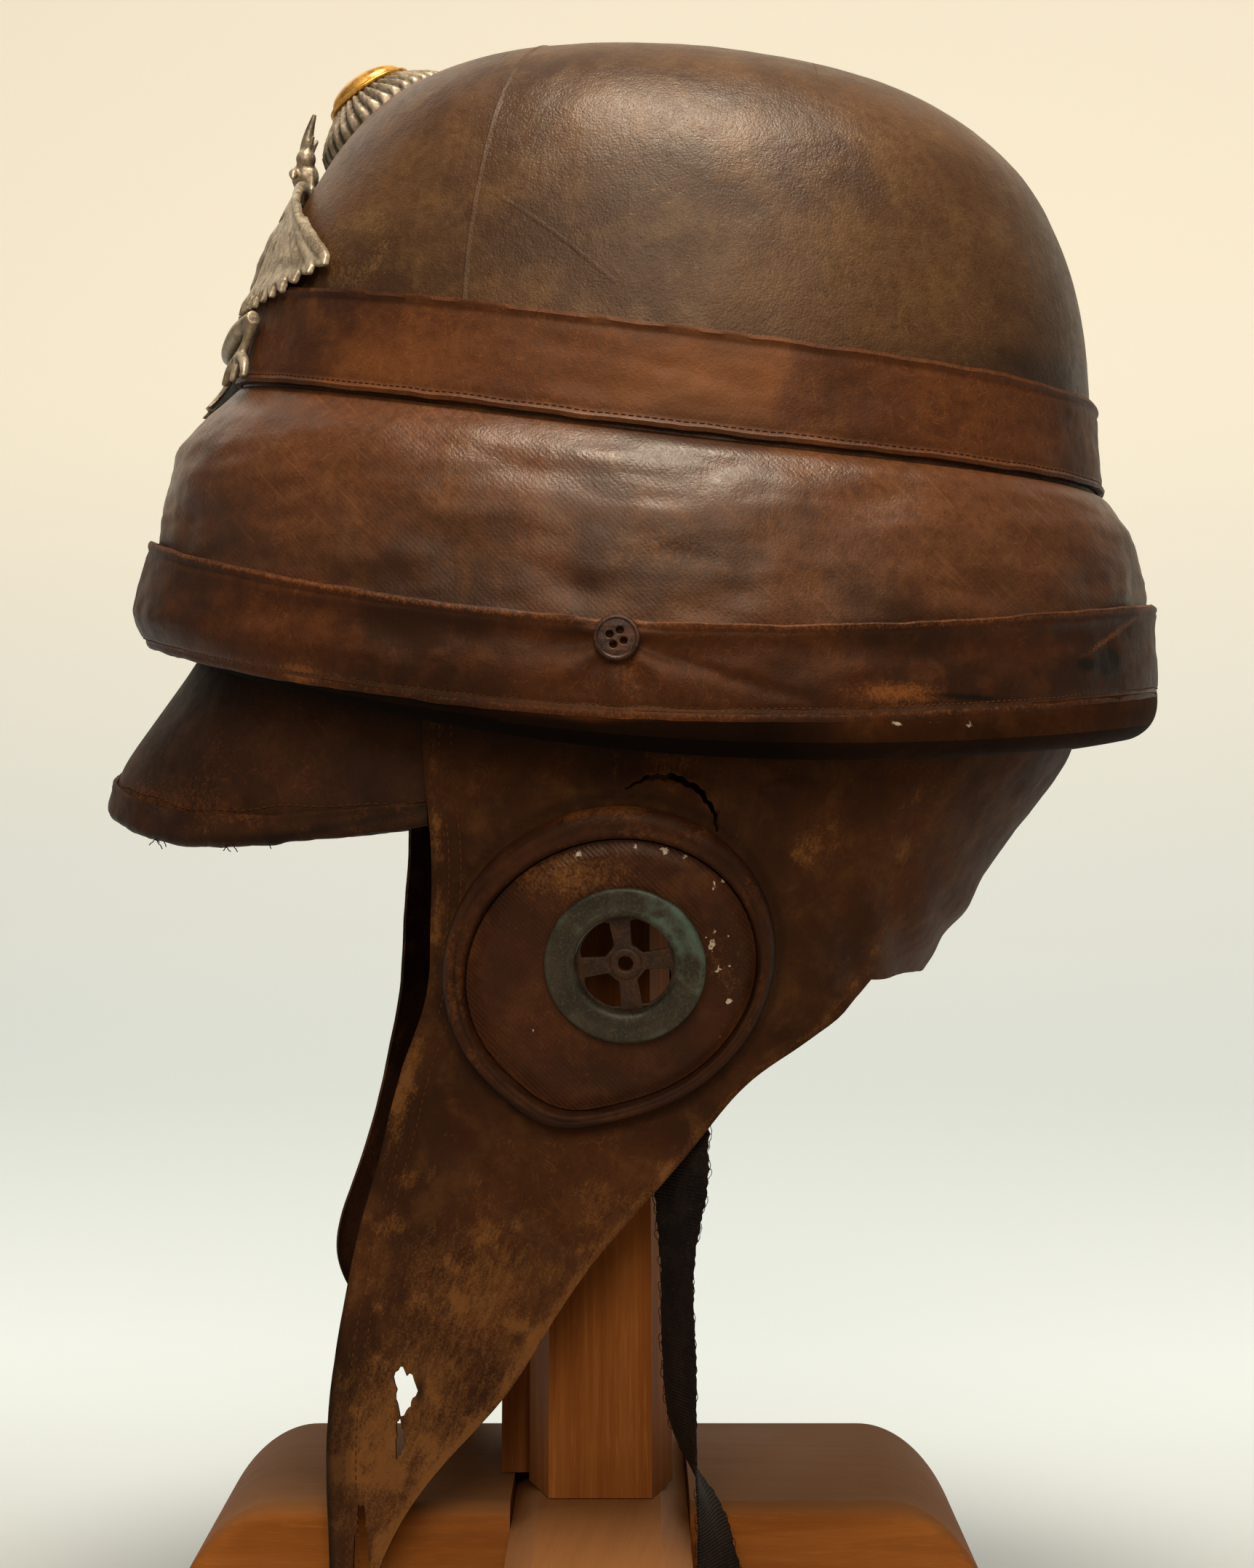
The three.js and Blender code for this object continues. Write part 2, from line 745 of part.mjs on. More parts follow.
function onFront(across, height, lift) {
  const turn = across / BADGE_WRAP.radius;
  const outward = new THREE.Vector3(Math.sin(turn), -Math.cos(turn), 0);
  const from = new THREE.Vector3(0, BADGE_WRAP.y, Math.min(height, NECK_HEIGHT))
    .addScaledVector(outward, CAST_DISTANCE);
  const point = seatOnCrown(from, outward.clone().negate());
  const lowered = Math.max(TAIL_LIFT.below - height, 0) / TAIL_LIFT.over;
  point.z = height;
  return point.addScaledVector(outward, BADGE_SEAT + lift + TAIL_LIFT.outward * lowered * lowered);
}

function crestedLoop(left, right, steps, thickness, crest) {
  const top = [];
  const bottom = [];
  for (let j = 0; j <= steps; j += 1) {
    const t = j / steps;
    const across = left.x + (right.x - left.x) * t;
    const up = left.z + (right.z - left.z) * t;
    top.push(onFront(across, up, thickness + crest * Math.sin(Math.PI * t)));
    bottom.unshift(onFront(across, up, 0));
  }
  return [...top, ...bottom];
}

const PLATE_STEPS = 2;
const BODY_STEPS = 4;
const BODY_THICKNESS = 1.2;

function plate(outline, { stations, thickness, crest }) {
  const loops = [];
  for (let i = 0; i <= stations; i += 1) {
    const { left, right } = outline(i / stations);
    loops.push(crestedLoop(left, right, PLATE_STEPS, thickness, crest));
  }
  return loftSolid(loops);
}

const BODY = table(['z', 'halfWidth', 'crest'], [
  [485, 1.0, 0.8],
  [475, 3.0, 1.6],
  [468, 5.5, 3.0],
  [461, 4.6, 2.8],
  [454, 8.5, 5.5],
  [441, 12.0, 5.5],
  [428, 10.0, 4.5],
  [416, 6.5, 3.5],
  [406, 11.0, 2.2],
  [391, 16.0, 1.0],
]);

function badgeBody() {
  const loops = BODY.map(({ z, halfWidth, crest }) => crestedLoop(
    { x: -halfWidth, z },
    { x: halfWidth, z },
    BODY_STEPS,
    BODY_THICKNESS,
    crest,
  ));
  return loftSolid(loops);
}

const FEATHERS = table(['x', 'rootZ', 'tipX', 'tipZ'], [
  [12, 449, 19, 420],
  [23, 447, 35, 416],
  [35, 443, 51, 416],
  [48, 438, 66, 418],
  [60, 434, 79, 422],
]);
const FEATHER = { half: 7, tipHalf: 5, fall: 0.3, rise: 0.3, stations: 2, thickness: 1.3, crest: 1.0 };
const SHOULDER = {
  x: 4, length: 70, z: 453, fall: 22, half: 5, narrow: 2, stations: 5, thickness: 1.6, crest: 2.2,
};
const LEG = {
  x: 6, length: 42, z: 424, fall: 13, half: 3.2, narrow: -1, stations: 3, thickness: 1.4, crest: 2.6,
};

function badgeFeather(side, { x, rootZ, tipX, tipZ }) {
  return plate((share) => {
    const middle = x + (tipX - x) * share;
    const z = rootZ + (tipZ - rootZ) * share;
    const half = share < 1 ? FEATHER.half : FEATHER.tipHalf;
    return {
      left: { x: side * (middle - half), z: z - half * FEATHER.fall },
      right: { x: side * (middle + half), z: z + half * FEATHER.rise },
    };
  }, FEATHER);
}

function badgeLimb(side, limb) {
  return plate((share) => {
    const x = side * (limb.x + limb.length * share);
    const z = limb.z - limb.fall * share;
    const half = limb.half - limb.narrow * share;
    return { left: { x, z: z - half }, right: { x, z: z + half } };
  }, limb);
}

function eagleGeometry() {
  const parts = [badgeBody()];
  for (const side of [1, -1]) {
    for (const feather of FEATHERS) {
      parts.push(badgeFeather(side, feather));
    }
    parts.push(badgeLimb(side, SHOULDER));
    parts.push(badgeLimb(side, LEG));
  }
  return fuse(parts);
}

const cockadeNormal = new THREE.Vector3(0, -Math.sin(COCKADE.lean), Math.cos(COCKADE.lean));
const cockadeAcross = new THREE.Vector3(1, 0, 0);
const cockadeUp = cockadeNormal.clone().cross(cockadeAcross);
const cockadeCentre = new THREE.Vector3(0, COCKADE.y, COCKADE.z);

function cockadePoint(radius, angle, lift, level = 0) {
  const flat = cockadeCentre.clone()
    .addScaledVector(cockadeAcross, radius * Math.cos(angle))
    .addScaledVector(cockadeUp, radius * Math.sin(angle));
  const from = flat.clone().addScaledVector(cockadeNormal, CAST_DISTANCE);
  const seat = seatOnCrown(from, cockadeNormal.clone().negate());
  const drop = cockadeCentre.clone().sub(seat).dot(cockadeNormal);
  return seat.addScaledVector(cockadeNormal, lift + level * drop);
}

const COCKADE_PROFILE = table(['radius', 'lift', 'flute', 'level'], [
  [24.0, 0.4, 0, 0.0],
  [24.0, 1.6, 0, 0.5],
  [18.0, 4.8, 1, 0.6],
  [12.5, 7.0, 0, 0.8],
  [12.5, 5.4, 0, 0.8],
  [18.0, 2.2, 0, 0.4],
]);
const COCKADE_INNER_ROW = 3;

function cockadeRingGeometry() {
  const loops = [];
  const stations = COCKADE.flutes * 2;
  for (let index = 0; index < stations; index += 1) {
    const angle = index / stations * 2 * Math.PI;
    const ridge = index % 2 === 0 ? COCKADE.flute : -COCKADE.flute;
    loops.push(COCKADE_PROFILE.map(({ radius, lift, flute, level }) => cockadePoint(
      radius,
      angle,
      lift + flute * ridge,
      level,
    )));
  }
  return loftSolid(loops, { closed: true });
}

function cockadeTop() {
  const { radius, lift, level } = COCKADE_PROFILE[COCKADE_INNER_ROW];
  let top = 0;
  for (let index = 0; index < COCKADE.flutes; index += 1) {
    const point = cockadePoint(radius, index / COCKADE.flutes * 2 * Math.PI, lift, level);
    top = Math.max(top, point.sub(cockadeCentre).dot(cockadeNormal));
  }
  return top;
}

function cockadeBossGeometry() {
  const profile = [{ radius: 0, height: 0 }, { radius: BOSS.radius, height: 0 }];
  for (let index = 0; index < BOSS.steps; index += 1) {
    const angle = index / BOSS.steps * Math.PI / 2;
    profile.push({
      radius: BOSS.radius * Math.cos(angle),
      height: BOSS.base + BOSS.height * Math.sin(angle),
    });
  }
  profile.push({ radius: 0, height: BOSS.base + BOSS.height });
  const geometry = lathe(profile, BOSS.sides);
  const frame = new THREE.Matrix4().makeBasis(cockadeAcross, cockadeUp, cockadeNormal);
  const seat = cockadeCentre.clone().addScaledVector(cockadeNormal, cockadeTop() + CLEARANCE);
  geometry.applyMatrix4(frame.setPosition(seat));
  return geometry;
}

// Buttons at mid side

function buttonGeometry() {
  const shape = new THREE.Shape();
  shape.absarc(0, 0, BUTTON.radius - BUTTON.bevel, 0, 2 * Math.PI, false);
  for (let index = 0; index < BUTTON_HOLES.count; index += 1) {
    const angle = BUTTON_HOLES.turn + index * 2 * Math.PI / BUTTON_HOLES.count;
    const x = BUTTON_HOLES.spacing * Math.cos(angle);
    const y = BUTTON_HOLES.spacing * Math.sin(angle);
    const hole = new THREE.Path();
    hole.absarc(x, y, BUTTON_HOLES.radius, 0, 2 * Math.PI, true);
    shape.holes.push(hole);
  }
  const geometry = new THREE.ExtrudeGeometry(shape, {
    depth: BUTTON.thickness - 2 * BUTTON.bevel,
    bevelEnabled: true,
    bevelThickness: BUTTON.bevel,
    bevelSize: BUTTON.bevel,
    bevelSegments: 1,
    curveSegments: 3,
  });
  geometry.rotateX(Math.PI / 2);
  geometry.rotateZ(Math.PI / 2);
  const rimSide = sectionPoint(RIM_OUTER[1], Math.PI / 2).x;
  geometry.translate(rimSide + CLEARANCE + BUTTON.bevel, BUTTON.y, BUTTON.z);
  geometry.deleteAttribute('normal');
  geometry.deleteAttribute('uv');
  return mergeVertices(geometry, 1e-4);
}

// Ribbon hanging from the inside of the left flap

const RIBBON = { width: 24, thickness: 0.9 };
const RIBBON_ROUTE = table(['z', 'x', 'y', 'turn'], [
  [206, 80.2, 18, -6],
  [188, 73.2, 19, 10],
  [172, 67.0, 20, 30],
  [158, 69.5, 21.5, 42],
  [145, 71.5, 21.0, 54],
  [133, 71.5, 20.8, 62],
  [118, 71.5, 21.0, 64],
  [104, 71.5, 21.5, 66],
  [92, 71.5, 22.0, 70],
  [82, 71.5, 23.5, 77],
  [72, 72.0, 27.0, 92],
  [60, 72.5, 31.0, 108],
  [47, 73.0, 32.8, 116],
  [34, 73.0, 35.6, 126],
  [22, 73.0, 37.2, 131],
]);

function ribbonFace(side) {
  return RIBBON_ROUTE.map(({ z, x, y, turn }) => {
    const angle = turn * Math.PI / 180;
    const along = new THREE.Vector3(Math.sin(angle), Math.cos(angle), 0);
    const through = new THREE.Vector3(Math.cos(angle), -Math.sin(angle), 0);
    return [-1, 0, 1].map((across) => new THREE.Vector3(x, y, z)
      .addScaledVector(along, across * RIBBON.width / 2)
      .addScaledVector(through, side * RIBBON.thickness / 2));
  });
}

function ribbonGeometry() {
  return sheetSolid(ribbonFace(1), ribbonFace(-1));
}

// The stand

function barProfile(inset) {
  const points = [];
  const steps = 8;
  const top = BAR.height - inset;
  const flat = BAR.flatHalf;
  const round = BAR.roundLength - inset;
  for (let index = 0; index <= steps; index += 1) {
    const angle = index / steps * Math.PI / 2;
    points.push([flat + round * Math.cos(angle), top * Math.sin(angle)]);
  }
  for (let index = steps; index >= 0; index -= 1) {
    const angle = index / steps * Math.PI / 2;
    points.push([-flat - round * Math.cos(angle), top * Math.sin(angle)]);
  }
  return points;
}

function baseBarGeometry() {
  const stations = table(['x', 'inset'], [
    [-BAR.halfDepth, BAR.chamfer],
    [-BAR.halfDepth + BAR.chamfer, 0],
    [BAR.halfDepth - BAR.chamfer, 0],
    [BAR.halfDepth, BAR.chamfer],
  ]);
  const loops = stations.map(({ x, inset }) => barProfile(inset)
    .map(([y, z]) => new THREE.Vector3(BAR.x + x, BAR.y + y, z)));
  const notch = new THREE.BoxGeometry(4 * BAR.halfDepth, 2 * (CROSS.halfWidth + CLEARANCE), BAR.height);
  notch.translate(0, CROSS.y, BAR.height);
  return cut(loftSolid(loops), [notch]);
}

function crossBarGeometry() {
  const half = CROSS.halfWidth;
  const top = BAR.height;
  const outline = [
    [-half, 0],
    [half, 0],
    [half, top - CROSS.chamferHeight],
    [half - CROSS.chamferWidth, top],
    [-half + CROSS.chamferWidth, top],
    [-half, top - CROSS.chamferHeight],
  ];
  const loops = [-CROSS.halfLength, CROSS.halfLength].map((x) => outline
    .map(([y, z]) => new THREE.Vector3(x, CROSS.y + y, z)));
  const notch = new THREE.BoxGeometry(2 * (BAR.halfDepth + CLEARANCE), 4 * CROSS.halfWidth, BAR.height);
  notch.translate(BAR.x, CROSS.y, CLEARANCE);
  return cut(loftSolid(loops), [notch]);
}

function board(outline) {
  const taper = POST.top / POST.foot;
  const loop = (z, scale) => outline.map(([x, y]) => new THREE.Vector3(x, POST.y + y * scale, z));
  return loftSolid([loop(BAR.height + CLEARANCE, 1), loop(POST_TOP, taper)]);
}

function postFrontGeometry() {
  const half = POST.foot / 2;
  const face = POST.face / 2;
  const front = POST.front;
  return board([
    [front - POST.frontDepth, -half],
    [front - POST.bevel, -half],
    [front, -face],
    [front, face],
    [front - POST.bevel, half],
    [front - POST.frontDepth, half],
  ]);
}

function postRearGeometry() {
  const half = POST.foot / 2;
  const front = POST.front - POST.frontDepth - CLEARANCE;
  const rear = POST.front - POST.depth;
  return board([
    [rear, -half - POST.offset],
    [front, -half - POST.offset],
    [front, half - POST.rearInset],
    [rear, half - POST.rearInset],
  ]);
}

function headBlockGeometry() {
  const sink = LEATHER + BLOCK_GAP;
  const loops = CROWN.slice(BLOCK_FIRST_ROW).map((row) => {
    const ring = sectionRing(row, row.halfWidth > 0 ? -sink : 0);
    for (const point of ring) {
      point.z -= sink;
    }
    return ring;
  });
  const bottom = loops[0].map((point) => new THREE.Vector3(
    point.x * BLOCK_TAPER,
    point.y * BLOCK_TAPER,
    BLOCK_BOTTOM,
  ));
  return loftSolid([bottom, ...loops]);
}

// Colours and materials

const FINISH = {
  crown: { color: 0x5a4632, roughness: 0.55, metalness: 0 },
  band: { color: 0x6b3f22, roughness: 0.6, metalness: 0 },
  roll: { color: 0x5c3a24, roughness: 0.55, metalness: 0 },
  flap: { color: 0x5a3220, roughness: 0.75, metalness: 0 },
  ear: { color: 0x633422, roughness: 0.7, metalness: 0 },
  verdigris: { color: 0x6f7a6c, roughness: 0.6, metalness: 0.5 },
  iron: { color: 0x4a2e20, roughness: 0.7, metalness: 0.4 },
  silver: { color: 0xa89c88, roughness: 0.4, metalness: 0.9 },
  gilt: { color: 0xc9983c, roughness: 0.35, metalness: 0.9 },
  ribbon: { color: 0x2e2420, roughness: 0.9, metalness: 0 },
  wood: { color: 0xb06a34, roughness: 0.6, metalness: 0 },
};

function piece(name, geometry, finish) {
  const mesh = new THREE.Mesh(geometry, new THREE.MeshStandardMaterial(FINISH[finish]));
  mesh.name = name;
  return mesh;
}

const helmet = new THREE.Group();
helmet.add(piece('crown', crownGeometry(), 'crown'));
helmet.add(piece('crown_band', crownBandGeometry(), 'band'));
helmet.add(piece('bumper', bumperGeometry(), 'roll'));
helmet.add(piece('rim_band', rimBandGeometry(), 'band'));
helmet.add(piece('peak', peakGeometry(), 'band'));
helmet.add(piece('peak_binding', peakBindingGeometry(), 'band'));
helmet.add(piece('eagle_badge', eagleGeometry(), 'silver'));
helmet.add(piece('cockade_ring', cockadeRingGeometry(), 'silver'));
helmet.add(piece('cockade_boss', cockadeBossGeometry(), 'gilt'));
helmet.add(piece('ribbon', ribbonGeometry(), 'ribbon'));

const nearFlap = cut(flapSheet('frontEdge'), [
  earHole(),
  raggedPrism(RAGGED_HOLE),
  raggedPrism(SLIT_HOLE),
  raggedPrism(LOW_SLIT),
  tearPrism(),
]);
const farFlap = cut(flapSheet('farFrontEdge'), [earHole()]);
helmet.add(piece('flap_left', nearFlap, 'flap'));
helmet.add(piece('flap_right', mirrored(farFlap), 'flap'));

const earPieces = [
  ['ear_ring', earRingGeometry(), 'ear'],
  ['ear_roundel', cut(earRoundelGeometry(), [earHole()]), 'ear'],
  ['grommet', grommetGeometry(), 'verdigris'],
  ['button', buttonGeometry(), 'iron'],
];
for (const [name, geometry, finish] of earPieces) {
  helmet.add(piece(`${name}_left`, geometry, finish));
  helmet.add(piece(`${name}_right`, mirrored(geometry), finish));
}

const stand = new THREE.Group();
stand.rotation.z = STAND_TURN;
stand.add(piece('base_bar', baseBarGeometry(), 'wood'));
stand.add(piece('cross_bar', crossBarGeometry(), 'wood'));
stand.add(piece('post_front', postFrontGeometry(), 'wood'));
stand.add(piece('post_rear', postRearGeometry(), 'wood'));

const wholePart = new THREE.Group();
wholePart.add(piece('head_block', headBlockGeometry(), 'wood'));
wholePart.add(helmet);
wholePart.add(stand);

export default wholePart;
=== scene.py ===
# A leather flying helmet on its stand: skins, stitching, wear, light and camera.
# Sizes are in millimetres, as in the part, and MM turns them into metres.
# The face looks along -Y and the wearer's left side, which the camera sees, is +X.

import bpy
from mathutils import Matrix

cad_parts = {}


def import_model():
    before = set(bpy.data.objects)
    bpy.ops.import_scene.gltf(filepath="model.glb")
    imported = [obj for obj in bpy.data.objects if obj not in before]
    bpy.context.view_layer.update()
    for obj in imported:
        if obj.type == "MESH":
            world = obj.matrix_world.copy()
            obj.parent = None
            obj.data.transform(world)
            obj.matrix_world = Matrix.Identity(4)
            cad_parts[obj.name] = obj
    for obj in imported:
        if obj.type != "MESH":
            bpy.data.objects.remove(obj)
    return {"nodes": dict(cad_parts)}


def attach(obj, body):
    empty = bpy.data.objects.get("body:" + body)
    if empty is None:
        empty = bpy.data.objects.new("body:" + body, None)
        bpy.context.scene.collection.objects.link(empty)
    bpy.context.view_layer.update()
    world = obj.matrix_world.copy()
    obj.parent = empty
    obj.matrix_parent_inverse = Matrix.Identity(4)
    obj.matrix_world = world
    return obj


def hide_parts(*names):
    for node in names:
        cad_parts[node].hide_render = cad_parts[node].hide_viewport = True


frame_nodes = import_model()["nodes"]
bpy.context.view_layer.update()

import math

import bmesh
import bpy
import numpy as np
from mathutils import Vector, noise
from mathutils.bvhtree import BVHTree

MM = 0.001
QUARTER = math.pi / 2
UP = np.array([0.0, 0.0, 1.0])

# The middle of the helmet from above: place across and along

MIDDLE = np.array([0.0, 10.0])

# Driving sizes of the helmet, the same as the part's

LEATHER = 2.0
THIN_LEATHER = 1.5
BAND_LEATHER = 1.7
BAND_GAP = 0.4

# Oval sections: front, back, half width, height at the front, side and back, squareness

CROWN = np.array([
    [-118.0, 146.0, 107.0, 314.5, 294.5, 299.0, 2.15],
    [-119.5, 146.5, 108.6, 365.0, 342.0, 338.0, 2.15],
    [-119.5, 145.5, 109.0, 398.0, 373.5, 362.5, 2.15],
    [-112.6, 143.6, 107.0, 425.5, 402.5, 388.5, 2.15],
    [-104.5, 141.0, 104.0, 445.0, 423.0, 416.0, 2.18],
    [-93.0, 134.5, 98.0, 465.0, 446.0, 438.5, 2.2],
    [-77.5, 123.5, 87.0, 482.5, 467.0, 458.5, 2.25],
    [-58.5, 104.0, 70.0, 493.4, 483.0, 476.0, 2.2],
    [-37.0, 74.0, 46.0, 499.0, 494.2, 490.5, 2.05],
    [-16.0, 40.0, 23.0, 501.2, 499.8, 497.8, 2.0],
    [4.0, 4.0, 0.0, 501.8, 501.8, 501.8, 2.0],
])
BAND_BOTTOM_ROW = 2
BAND_TOP_ROW = 3

ROLL = np.array([
    [-120.2, 146.4, 109.6, 396.8, 372.3, 361.2, 2.15],
    [-128.0, 149.0, 115.0, 389.5, 369.0, 359.5, 2.15],
    [-137.4, 154.0, 122.5, 379.0, 359.0, 352.5, 2.15],
    [-142.6, 158.4, 128.0, 364.5, 341.5, 342.0, 2.15],
    [-144.6, 160.2, 130.4, 350.0, 318.5, 328.5, 2.15],
    [-149.4, 161.0, 130.2, 332.0, 306.0, 315.0, 2.15],
    [-145.0, 161.4, 128.0, 318.0, 287.0, 291.5, 2.15],
    [-133.0, 152.5, 118.0, 316.4, 283.5, 287.5, 2.15],
    [-119.6, 147.6, 108.6, 314.5, 289.0, 293.0, 2.15],
])
ROLL_INSIDE = np.array([[-120.6, 147.6, 109.4, 365.0, 342.0, 338.0, 2.15]])
ROLL_UNDERSIDE = 7

RIM = np.array([
    [-147.4, 162.8, 132.9, 350.0, 318.5, 328.3, 2.15],
    [-148.5, 163.7, 133.5, 347.2, 316.6, 326.4, 2.15],
    [-149.2, 163.3, 133.0, 344.0, 314.5, 324.3, 2.15],
    [-153.0, 163.9, 132.8, 329.0, 305.0, 313.0, 2.15],
    [-148.2, 163.7, 131.0, 317.5, 291.8, 300.0, 2.15],
])

# Level sections of the inner cap: height, front, back, half width, squareness,
# then where each flap starts at the front, on the near and the far side, and folds at the rear

CAP = np.array([
    [340, -116.0, 143.4, 104.6, 2.15, -52, -79.5, 98],
    [318, -114.0, 143.2, 104.2, 2.15, -51, -79.5, 97],
    [300, -112.0, 141.0, 103.0, 2.2, -50, -79.5, 96],
    [285, -108.0, 138.0, 101.0, 2.25, -50, -79.5, 94],
    [268, -104.0, 127.0, 98.8, 2.3, -49, -79.5, 91],
    [250, -101.0, 113.0, 95.6, 2.4, -48, -79.5, 87],
    [232, -100.0, 102.0, 91.6, 2.4, -49, -80, 82],
    [217, -100.0, 91.0, 87.8, 2.4, -50, -80.5, 76],
    [203, -102.0, 91.0, 84.6, 2.4, -54, -81.5, 63],
    [190, -106.0, 91.0, 82.0, 2.4, -59, -84, 44],
    [176, -112.0, 91.0, 79.6, 2.4, -63, -87, 31],
    [158, -120.0, 91.0, 77.6, 2.4, -68, -92, 16],
    [137, -130.0, 91.0, 76.2, 2.4, -74, -99, -2],
    [115, -140.0, 91.0, 75.2, 2.4, -78, -103, -17],
    [95, -150.0, 91.0, 74.4, 2.4, -81, -94, -30],
    [75, -158.0, 91.0, 73.8, 2.4, -82, -78, -48],
    [50, -164.0, 91.0, 73.4, 2.4, -81, -77, -64],
    [24, -168.0, 91.0, 73.0, 2.4, -80, -80, -72],
])
NEAR_EDGE = 5
FAR_EDGE = 6
REAR_FOLD = 7
NAPE_HEM = 217.0

EAR = {"y": 2.0, "z": 223.0, "tilt": 0.24, "slant": 0.11}
RING = {"length": 47.6, "height": 46.4}
ROUNDEL_LIFT = 2.4
GROMMET = {"outer": 23.0, "inner": 14.2, "barrel": 15.4, "depth": 3.5, "seat": 0.9, "forward": 5.6, "up": 0.8}
EAR_SEAT = 1.2
BUTTON = {"y": 9.0, "z": 313.5, "radius": 6.4}

PEAK_SIDE_Y = -50.0
PEAK_RIGHT_Y = -82.0
PEAK_SIDE_INSET = 2.4
PEAK_THICKNESS = 2.2
PEAK_CAP_HEIGHT = 285.0
PEAK_CAP_FALL = 20.0
PEAK_REACH = np.array([[0.0, 82.5, 1.2], [0.5, 100.0, 0.4], [0.8, 109.5, 0.1], [1.0, 112.5, 0.0]])
PEAK_LOWER = np.array([[0.0, 270.0], [0.25, 264.5], [0.5, 258.5], [0.75, 259.0], [1.0, 264.5]])
BINDING_SHARE = 0.146

# The ribbon's route: height, place across, place along and turn in degrees

RIBBON_WIDTH = 24.0
RIBBON_ROUTE = np.array([
    [206, 80.2, 18.0, -6], [188, 73.2, 19.0, 10], [172, 67.0, 20.0, 30], [158, 69.5, 21.5, 42],
    [145, 71.5, 21.0, 54], [133, 71.5, 20.8, 62], [118, 71.5, 21.0, 64], [104, 71.5, 21.5, 66],
    [92, 71.5, 22.0, 70], [82, 71.5, 23.5, 77], [72, 72.0, 27.0, 92], [60, 72.5, 31.0, 108],
    [47, 73.0, 32.8, 116], [34, 73.0, 35.6, 126], [22, 73.0, 37.2, 131],
])

# The photograph's camera

CAMERA = {"place": (946.4, 82.8, 274.0), "turn": 95.0, "lens": 69.5, "sensor": 36.0}

# Helpers: smooth tables and soft noise


def smooth(knots, values, places):
    """The natural cubic curve through values at knots, read at places."""
    knots = np.asarray(knots, float)
    values = np.asarray(values, float)
    single = values.ndim == 1
    if single:
        values = values[:, None]
    count = len(knots)
    gaps = np.diff(knots)
    slopes = np.diff(values, axis=0) / gaps[:, None]
    matrix = np.eye(count)
    right = np.zeros(values.shape)
    for i in range(1, count - 1):
        matrix[i, i - 1] = gaps[i - 1]
        matrix[i, i] = 2 * (gaps[i - 1] + gaps[i])
        matrix[i, i + 1] = gaps[i]
        right[i] = 6 * (slopes[i] - slopes[i - 1])
    bend = np.linalg.solve(matrix, right)
    places = np.atleast_1d(np.asarray(places, float))
    cell = np.clip(np.searchsorted(knots, places) - 1, 0, count - 2)
    gap = gaps[cell][:, None]
    far = (places - knots[cell])[:, None] / gap
    near = 1 - far
    cubic = (near ** 3 - near) * bend[cell] + (far ** 3 - far) * bend[cell + 1]
    result = near * values[cell] + far * values[cell + 1] + cubic * gap ** 2 / 6
    return result[:, 0] if single else result


def chords(points):
    """Distances along a line of points, starting from 0."""
    steps = np.linalg.norm(np.diff(points, axis=0), axis=1)
    return np.concatenate([[0.0], np.cumsum(steps)])


def refined(rows, count, last=None):
    """A section table made finer, up to its row number last."""
    knots = chords(rows[:, 1:6])
    end = knots[-1 if last is None else last]
    return smooth(knots, rows, np.linspace(0, end, count))


def cloud(points, size, seed, octaves=3):
    """Soft noise from about -1 to 1, with patches about size wide."""
    shift = Vector((17.3, 31.7, 5.9)) * seed
    places = np.asarray(points).reshape(-1, 3) / size
    values = [noise.fractal(Vector(place) + shift, 1.0, 2.0, octaves) for place in places]
    return np.array(values).reshape(np.asarray(points).shape[:-1])


def bump_at(distance, width):
    """A soft hump, 1 in the middle, that fades over width."""
    return np.exp(-(np.asarray(distance) / width) ** 2)


def step_up(value, low, high):
    """Rises smoothly from 0 at low to 1 at high."""
    share = np.clip((value - low) / (high - low), 0, 1)
    return share * share * (3 - 2 * share)


def spots(rows, y, z):
    """Soft spots on a side: strength, place along, height, length and tallness of each."""
    return sum(strength * bump_at(np.hypot((y - at_y) / length, (z - at_z) / tall), 1)
               for strength, at_y, at_z, length, tall in rows)


def unit(vectors):
    return vectors / np.linalg.norm(vectors, axis=-1, keepdims=True)


# Helpers: surfaces of the helmet


def section(rows, angles):
    """Points of the oval sections. Angle 0 is the front and a quarter turn the left side."""
    front, back, half_width, front_z, side_z, back_z, squareness = (column[:, None] for column in rows.T)
    sine = np.sin(angles)[None, :]
    cosine = np.cos(angles)[None, :]
    reach = (np.abs(sine) ** squareness + np.abs(cosine) ** squareness) ** (-1 / squareness)
    x = half_width * reach * sine
    y = (front + back) / 2 - (back - front) / 2 * reach * cosine
    mean = (front_z + back_z) / 2
    z = mean + (front_z - back_z) / 2 * cosine + (side_z - mean) * sine ** 2
    return np.stack([x, y, z], axis=2)


def height_on(row, x, y):
    """Height of an oval section where it passes over a place."""
    middle = (row[0] + row[1]) / 2
    half_length = (row[1] - row[0]) / 2
    angle = np.arctan2(x / row[2], (middle - y) / half_length)
    mean = (row[3] + row[5]) / 2
    return mean + (row[3] - row[5]) / 2 * np.cos(angle) + (row[4] - mean) * np.sin(angle) ** 2


def turns(count):
    return np.arange(count) * 2 * math.pi / count


def cap_row(z):
    """Sections of the inner cap at any heights."""
    return smooth(CAP[::-1, 0], CAP[::-1], z)


def cap_angle(row, y):
    """The turn at which a section of the inner cap passes a place along."""
    share = ((row[:, 1] + row[:, 2]) / 2 - y) / ((row[:, 2] - row[:, 1]) / 2)
    across = np.maximum(1 - np.abs(share) ** row[:, 4], 0) ** (1 / row[:, 4])
    return np.arctan2(across, share)


def cap_points(row, angle):
    sine = np.sin(angle)
    cosine = np.cos(angle)
    power = row[:, 4]
    reach = (np.abs(sine) ** power + np.abs(cosine) ** power) ** (-1 / power)
    x = row[:, 3] * reach * sine
    y = (row[:, 1] + row[:, 2]) / 2 - (row[:, 2] - row[:, 1]) / 2 * reach * cosine
    return np.stack([x, y, row[:, 0]], axis=1)


